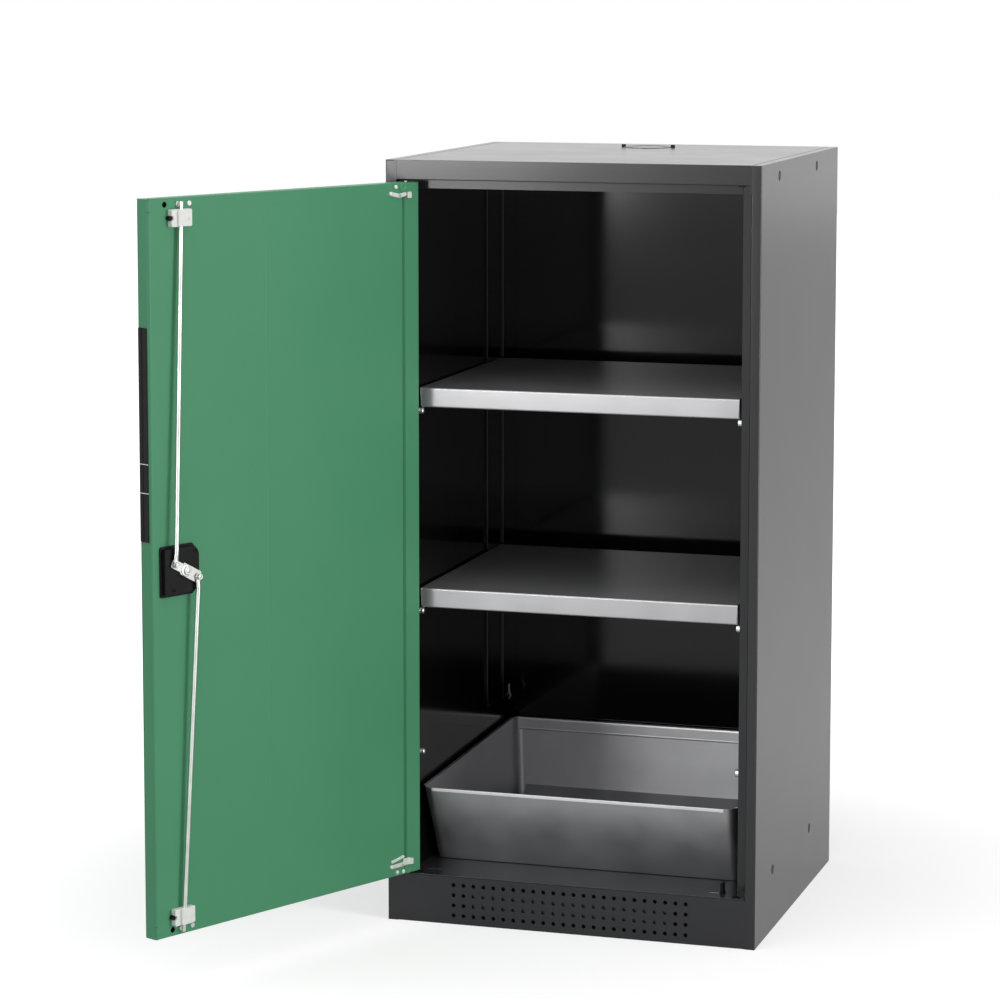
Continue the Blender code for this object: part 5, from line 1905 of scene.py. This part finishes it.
@dataclass
class LeverLock(Assembly):
    """Rod lock: black housing, double lever with studs, rosette and key plug."""

    door: str = "door"
    lock: str = "lock"
    clip: float = 11.0 * MM
    flange: float = 2.4 * MM
    step: float = 3.4 * MM
    rib: float = 3.2 * MM
    screw_radius: float = 3.1 * MM
    screw_inset: float = 9.5 * MM
    arm_widths: Pair = (12.5 * MM, 17.0 * MM)
    arm_end: float = 5.0 * MM
    arm_sheet: float = 2.0 * MM
    hub_radius: float = 8.5 * MM
    nut_radius: float = 6.2 * MM
    nut_height: float = 4.2 * MM
    screw_height: float = 5.2 * MM
    stud_radius: float = 2.2 * MM
    clip_radius: float = 4.0 * MM
    ring_width: float = 3.4 * MM

    def axis(self) -> Vector:
        """Middle of the lock in the drawing."""
        return DOOR.joint("lock_turn")

    def box_outline(self, low: Vector, high: Vector, inset: float) -> Outline:
        """Outline of the housing with the corners clipped on the hinge side.

        Args:
            low: lowest corner of the CAD housing.
            high: its highest corner.
            inset: how far the outline stands in.

        Returns:
            The outline with eased corners.
        """
        a, b = low.x + inset, high.x - inset
        c, d = low.y + inset, high.y - inset
        cut = self.clip - 0.4 * inset
        start = (a, (c + d) / 2)
        path = [start, (a, c + cut), (a + cut, c), (b, c), (b, d), (a + cut, d), (a, d - cut), start]
        slight, round_off = 2.0 * MM, 3.0 * MM
        return filleted(path, [0.0, slight, slight, round_off, round_off, slight, slight, 0.0])[:-1]

    def housing(self) -> None:
        """Moulded housing: foot flange, raised box, rib along the free edge, screws, dished hub seat."""
        low, high = DOOR.box("lock_housing")
        work = Workpiece()
        work.plate(self.box_outline(low, high, 0.0), low.z, low.z + self.flange, 0.4 * MM)
        work.plate(self.box_outline(low, high, self.step), low.z, high.z - 0.5 * MM, 0.9 * MM)
        foot, head = low.y + self.step, high.y - self.step
        rib = rounded_box((high.x - 2 * self.rib, foot), (high.x - self.rib, head), MM)
        work.plate(rib, low.z, high.z, 0.5 * MM)
        axis = self.axis()
        inner, top = self.hub_radius + 1.5 * MM, high.z
        outer = self.hub_radius + 4.0 * MM
        seat = [(inner, 0.0), (outer, 0.0), (outer, top - 0.3 * MM), (outer - 0.6 * MM, top)]
        seat += [(inner + 0.5 * MM, top), (inner, top - 0.4 * MM), (inner, 0.0)]
        work.lathe(seat, at(axis.x, axis.y), 40)
        radius = self.screw_radius
        top = high.z + 0.5 * MM
        cup = [(0.0, 0.0), (radius, 0.0), (radius, top - 0.6 * MM), (0.75 * radius, top)]
        cup += [(0.45 * radius, top), (0.4 * radius, top - MM), (0.0, top - MM)]
        for s in (low.x + self.clip, high.x - 1.9 * self.screw_inset):
            for z in (low.y + self.screw_inset, high.y - self.screw_inset):
                work.lathe(cup, at(s, z), 18)
        item = work.piece("lock_box_moulded", DOOR.place)
        self.shop.dress(item, BLACK_PLASTIC, self.door, "lock_housing")

    def arm(self, work: Workpiece, joint: str, width: float, base: float, tip: float) -> None:
        """Add an arm of the lever with the stud and the clip of its rod.

        Args:
            work: the workpiece.
            joint: joint of the rod.
            width: width of the arm.
            base: level of the arm's underside.
            tip: level of the stud's end.
        """
        axis = self.axis()
        stud = DOOR.joint(joint)
        run = Vector((stud.x - axis.x, stud.y - axis.y))
        turn = at(axis.x, axis.y) @ Matrix.Rotation(math.atan2(run.y, run.x), 4, "Z")
        half = 0.5 * width
        outline = rounded_box((-half, -half), (run.length + self.arm_end, half), 2.6 * MM)
        work.plate(outline, base, base + self.arm_sheet, 0.4 * MM, turn)
        radius = self.stud_radius
        spot = at(stud.x, stud.y)
        pin = [(0.0, base), (radius, base), (radius, tip - 0.4 * MM), (0.7 * radius, tip), (0.0, tip)]
        work.lathe(pin, spot, 18)
        under, over = tip - 0.3 * MM, tip + 0.4 * MM
        ring = [(radius, under), (self.clip_radius, under), (self.clip_radius, over), (radius, over)]
        ring.append(ring[0])
        work.lathe(ring, spot, 20, 0.12 * MM)

    def lever(self) -> None:
        """Double lever: two arms with squared ends, hub, washer, nut and the studs with their clips."""
        low, high = DOOR.box("lock_cam")
        base = DOOR.box("lock_housing")[1].z + 0.3 * MM
        top = base + self.arm_sheet
        work = Workpiece()
        for joint, width in zip(("upper_bolt_pivot", "lower_bolt_pivot"), self.arm_widths):
            self.arm(work, joint, width, base, high.z)
        axis = self.axis()
        spot = at(axis.x, axis.y)
        radius, neck = self.hub_radius, 0.7 * self.hub_radius
        cap = top + 1.3 * MM
        hub = [(0.0, low.z), (neck, low.z), (neck, base), (radius, base), (radius, top + 0.7 * MM)]
        hub += [(radius - 0.6 * MM, cap), (0.0, cap)]
        work.lathe(hub, spot, 36)
        nut = smooth_arc((0.0, 0.0), self.nut_radius, 12.0, 312.0, 5)
        work.plate(nut, top, top + self.nut_height, 0.5 * MM, spot)
        end = top + self.screw_height
        core, nose = 0.45 * self.nut_radius, 0.35 * self.nut_radius
        work.lathe([(0.0, top), (core, top), (core, end - 0.4 * MM), (nose, end), (0.0, end)], spot, 18)
        item = work.piece("lock_lever_plated", DOOR.place)
        self.shop.dress(item, BRIGHT_ZINC, self.lock, "lock_cam")

    def outside(self) -> None:
        """Rosette ring and the key plug on the outer face."""
        low, high = DOOR.box("lock_rosette")
        axis = self.axis()
        outer = (high.x - low.x) / 2
        inner = outer - self.ring_width
        foot, top = low.z, high.z
        ring = [(inner, top), (inner, foot + 0.6 * MM), (inner + 0.6 * MM, foot), (outer - 1.2 * MM, foot)]
        ring += [(outer - 0.35 * MM, foot + 0.4 * MM), (outer, foot + 1.1 * MM), (outer, top), (inner, top)]
        item = Workpiece().lathe(ring, at(axis.x, axis.y), 56).piece("lock_rosette_turned", DOOR.place)
        self.shop.dress(item, BRIGHT_ZINC, self.door, "lock_rosette")
        plug = FoldedSheet("key_plug", fold=0.4 * MM, inner_fold=0.0, rim=0.2 * MM).piece("key_plug_turned")
        self.shop.dress(plug, BRIGHT_ZINC, self.lock, "key_plug")

    def build(self) -> None:
        """Build and dress the lock."""
        self.housing()
        self.lever()
        self.outside()


@dataclass
class DoorRod(Assembly):
    """Bolt rod with a flattened eye, and the white guide with its screws and rivets; the black screw in the
    guide's notch also paints the shade there.
    """

    end: End
    rod_body: str
    rod_radius: float = 3.1 * MM
    tip_radius: float = 2.6 * MM
    tip_length: float = 18.0 * MM
    eye_radius: float = 5.0 * MM
    eye_hole: float = 2.7 * MM
    eye_half: float = 1.7 * MM
    neck: float = 15.0 * MM
    nose: float = 1.2 * MM
    guide_foot: float = 2.6 * MM
    bridge_half: float = 8.5 * MM
    notch_radius: float = 3.4 * MM
    rivet_radius: float = 3.73 * MM

    def word(self) -> str:
        """Word for this end in the names of the rod and its joint."""
        return self.end.pick("lower", "upper")

    def rod(self) -> None:
        """Round bar, forged flat towards its eye and turned down where its tip enters the slot."""
        stud = DOOR.joint(f"{self.word()}_bolt_pivot")
        low, high = DOOR.box(f"{self.word()}_rod")
        full, slim = self.rod_radius, self.tip_radius
        eye = Vector((stud.x, stud.y, high.z - full - 0.15 * MM))
        across = self.end.pick(high.x - slim, low.x + slim)
        tip = Vector((across, self.end.pick(low.y, high.y), low.z + slim))
        run = (tip - eye).normalized()
        length = (tip - eye).length
        turned = length - self.tip_length
        stops = [0.85 * (self.eye_radius + self.eye_hole) / 2, 0.45 * self.neck, 0.8 * self.neck, self.neck]
        stops += [turned, turned + MM, length - self.nose, length - 0.3 * self.nose, length]
        radii = [(1.35 * full, self.eye_half), (1.3 * full, self.eye_half), (1.12 * full, 0.8 * full)]
        radii += [(full, full), (full, full), (slim, slim), (slim, slim)]
        radii += [(0.8 * slim, 0.8 * slim), (0.45 * slim, 0.45 * slim)]
        work = Workpiece().tube([eye + run * stop for stop in stops], radii, Vector((0, 0, 1)), 20)
        foot, top = -self.eye_half, self.eye_half
        ring = [(self.eye_hole, foot), (self.eye_radius, foot), (self.eye_radius, top), (self.eye_hole, top)]
        ring.append(ring[0])
        work.lathe(ring, at(*eye), 28, 0.4 * MM)
        item = work.piece(f"{self.word()}_rod_forged", DOOR.place)
        self.shop.dress(item, BRIGHT_ZINC, self.rod_body, f"{self.word()}_rod")

    def guide(self) -> None:
        """Moulded guide: foot plate with a notch at the free edge, and a bridge over the rod."""
        node = f"rod_guide_{self.end.label}"
        low, high = DOOR.box(node)
        middle = (low + high) / 2
        notch = smooth_arc((high.x, middle.y), self.notch_radius, 270.0, 90.0, 8)
        outline = rounded_box((low.x, low.y), (high.x, high.y), 2.0 * MM)
        corner = len(outline) // 4
        work = Workpiece()
        deck = high.z - 3.4 * MM
        work.plate(outline[corner:] + notch + outline[:corner], low.z, deck, 0.5 * MM)
        near, far = middle.x - self.bridge_half, middle.x + self.bridge_half
        roof = rounded_box((near, low.y + 0.6 * MM), (far, high.y - 0.6 * MM), 1.4 * MM)
        work.plate(roof, high.z - 4.0 * MM, high.z, 0.8 * MM)
        boss = [(radius * MM, height * MM) for radius, height in GUIDE_BOSS_ROWS]
        work.lathe(boss, at(middle.x - 1.45 * self.bridge_half, middle.y, deck), 20)
        self.shop.dress(work.piece(f"{node}_moulded", DOOR.place), WHITE_PLASTIC, "door", node)
        # Painted shade: a black screw knob sits in the notch; it is a screw, and its black also stands for
        # the shade at the guide's free-edge side.
        foot = low.z + self.guide_foot
        radius = 0.88 * self.notch_radius
        top, slot = foot + 3.2 * MM, foot + 2.2 * MM
        knob = [(0.0, 0.0), (radius, 0.0), (radius, foot + 2.4 * MM), (0.8 * radius, top)]
        knob += [(0.4 * radius, top), (0.35 * radius, slot), (0.0, slot)]
        screw = Workpiece().lathe(knob, at(high.x, middle.y, SINK), 20)
        item = screw.piece(f"guide_screw_{self.end.label}", DOOR.place)
        self.shop.dress(item, BLACK_PLASTIC, "door")

    def rivets(self) -> None:
        """Flat rivet heads on the end flange beside the guide."""
        nodes = [f"guide_rivet_{self.end.label}_{number}" for number in (1, 2)]
        places = []
        for node in nodes:
            low, high = DOOR.box(node)
            middle = (low + high) / 2
            places.append(DOOR.place @ Vector((middle.x, middle.y, low.z - 0.1 * MM)))
        height = high.z - low.z
        heads = Fasteners(self.rivet_radius, height, 0.5, 0.82, shank_radius=MM, shank_length=SINK)
        material = self.shop.material(BRIGHT_ZINC)
        item = heads.piece(f"guide_rivets_{self.end.label}", material, places, [DOOR.lift] * len(places))
        self.shop.dress(item, BRIGHT_ZINC, "door", *nodes)

    def build(self) -> None:
        """Build and dress the rod, its guide and the rivets."""
        self.rod()
        self.guide()
        self.rivets()


def main() -> None:
    """Build the classes in order."""
    logging.basicConfig(level=logging.INFO, format="%(name)s: %(message)s")
    shop = PaintShop()
    assemblies = [
        Studio(),
        CarcassShell(shop),
        InnerLining(shop),
        PlinthGrille(shop),
        ExhaustCollar(shop),
        CarcassFittings(shop),
        SheetShelf(shop, "shelf_upper", "upper_shelf"),
        SheetShelf(shop, "shelf_lower", "lower_shelf"),
        SumpTray(shop),
        DoorLeaf(shop),
        HingeFitting(shop, End.TOP),
        HingeFitting(shop, End.BOTTOM),
        LeverLock(shop),
        DoorRod(shop, End.TOP, "upper_bolt"),
        DoorRod(shop, End.BOTTOM, "lower_bolt"),
    ]
    for assembly in assemblies:
        assembly.build()
    for node, item in frame["nodes"].items():
        if not item.hide_render:
            shop.keep(node, FINISHES[item.data.materials[0].name])
    LOG.info("%d pieces dressed", shop.count)


if __name__ == "__main__":
    main()
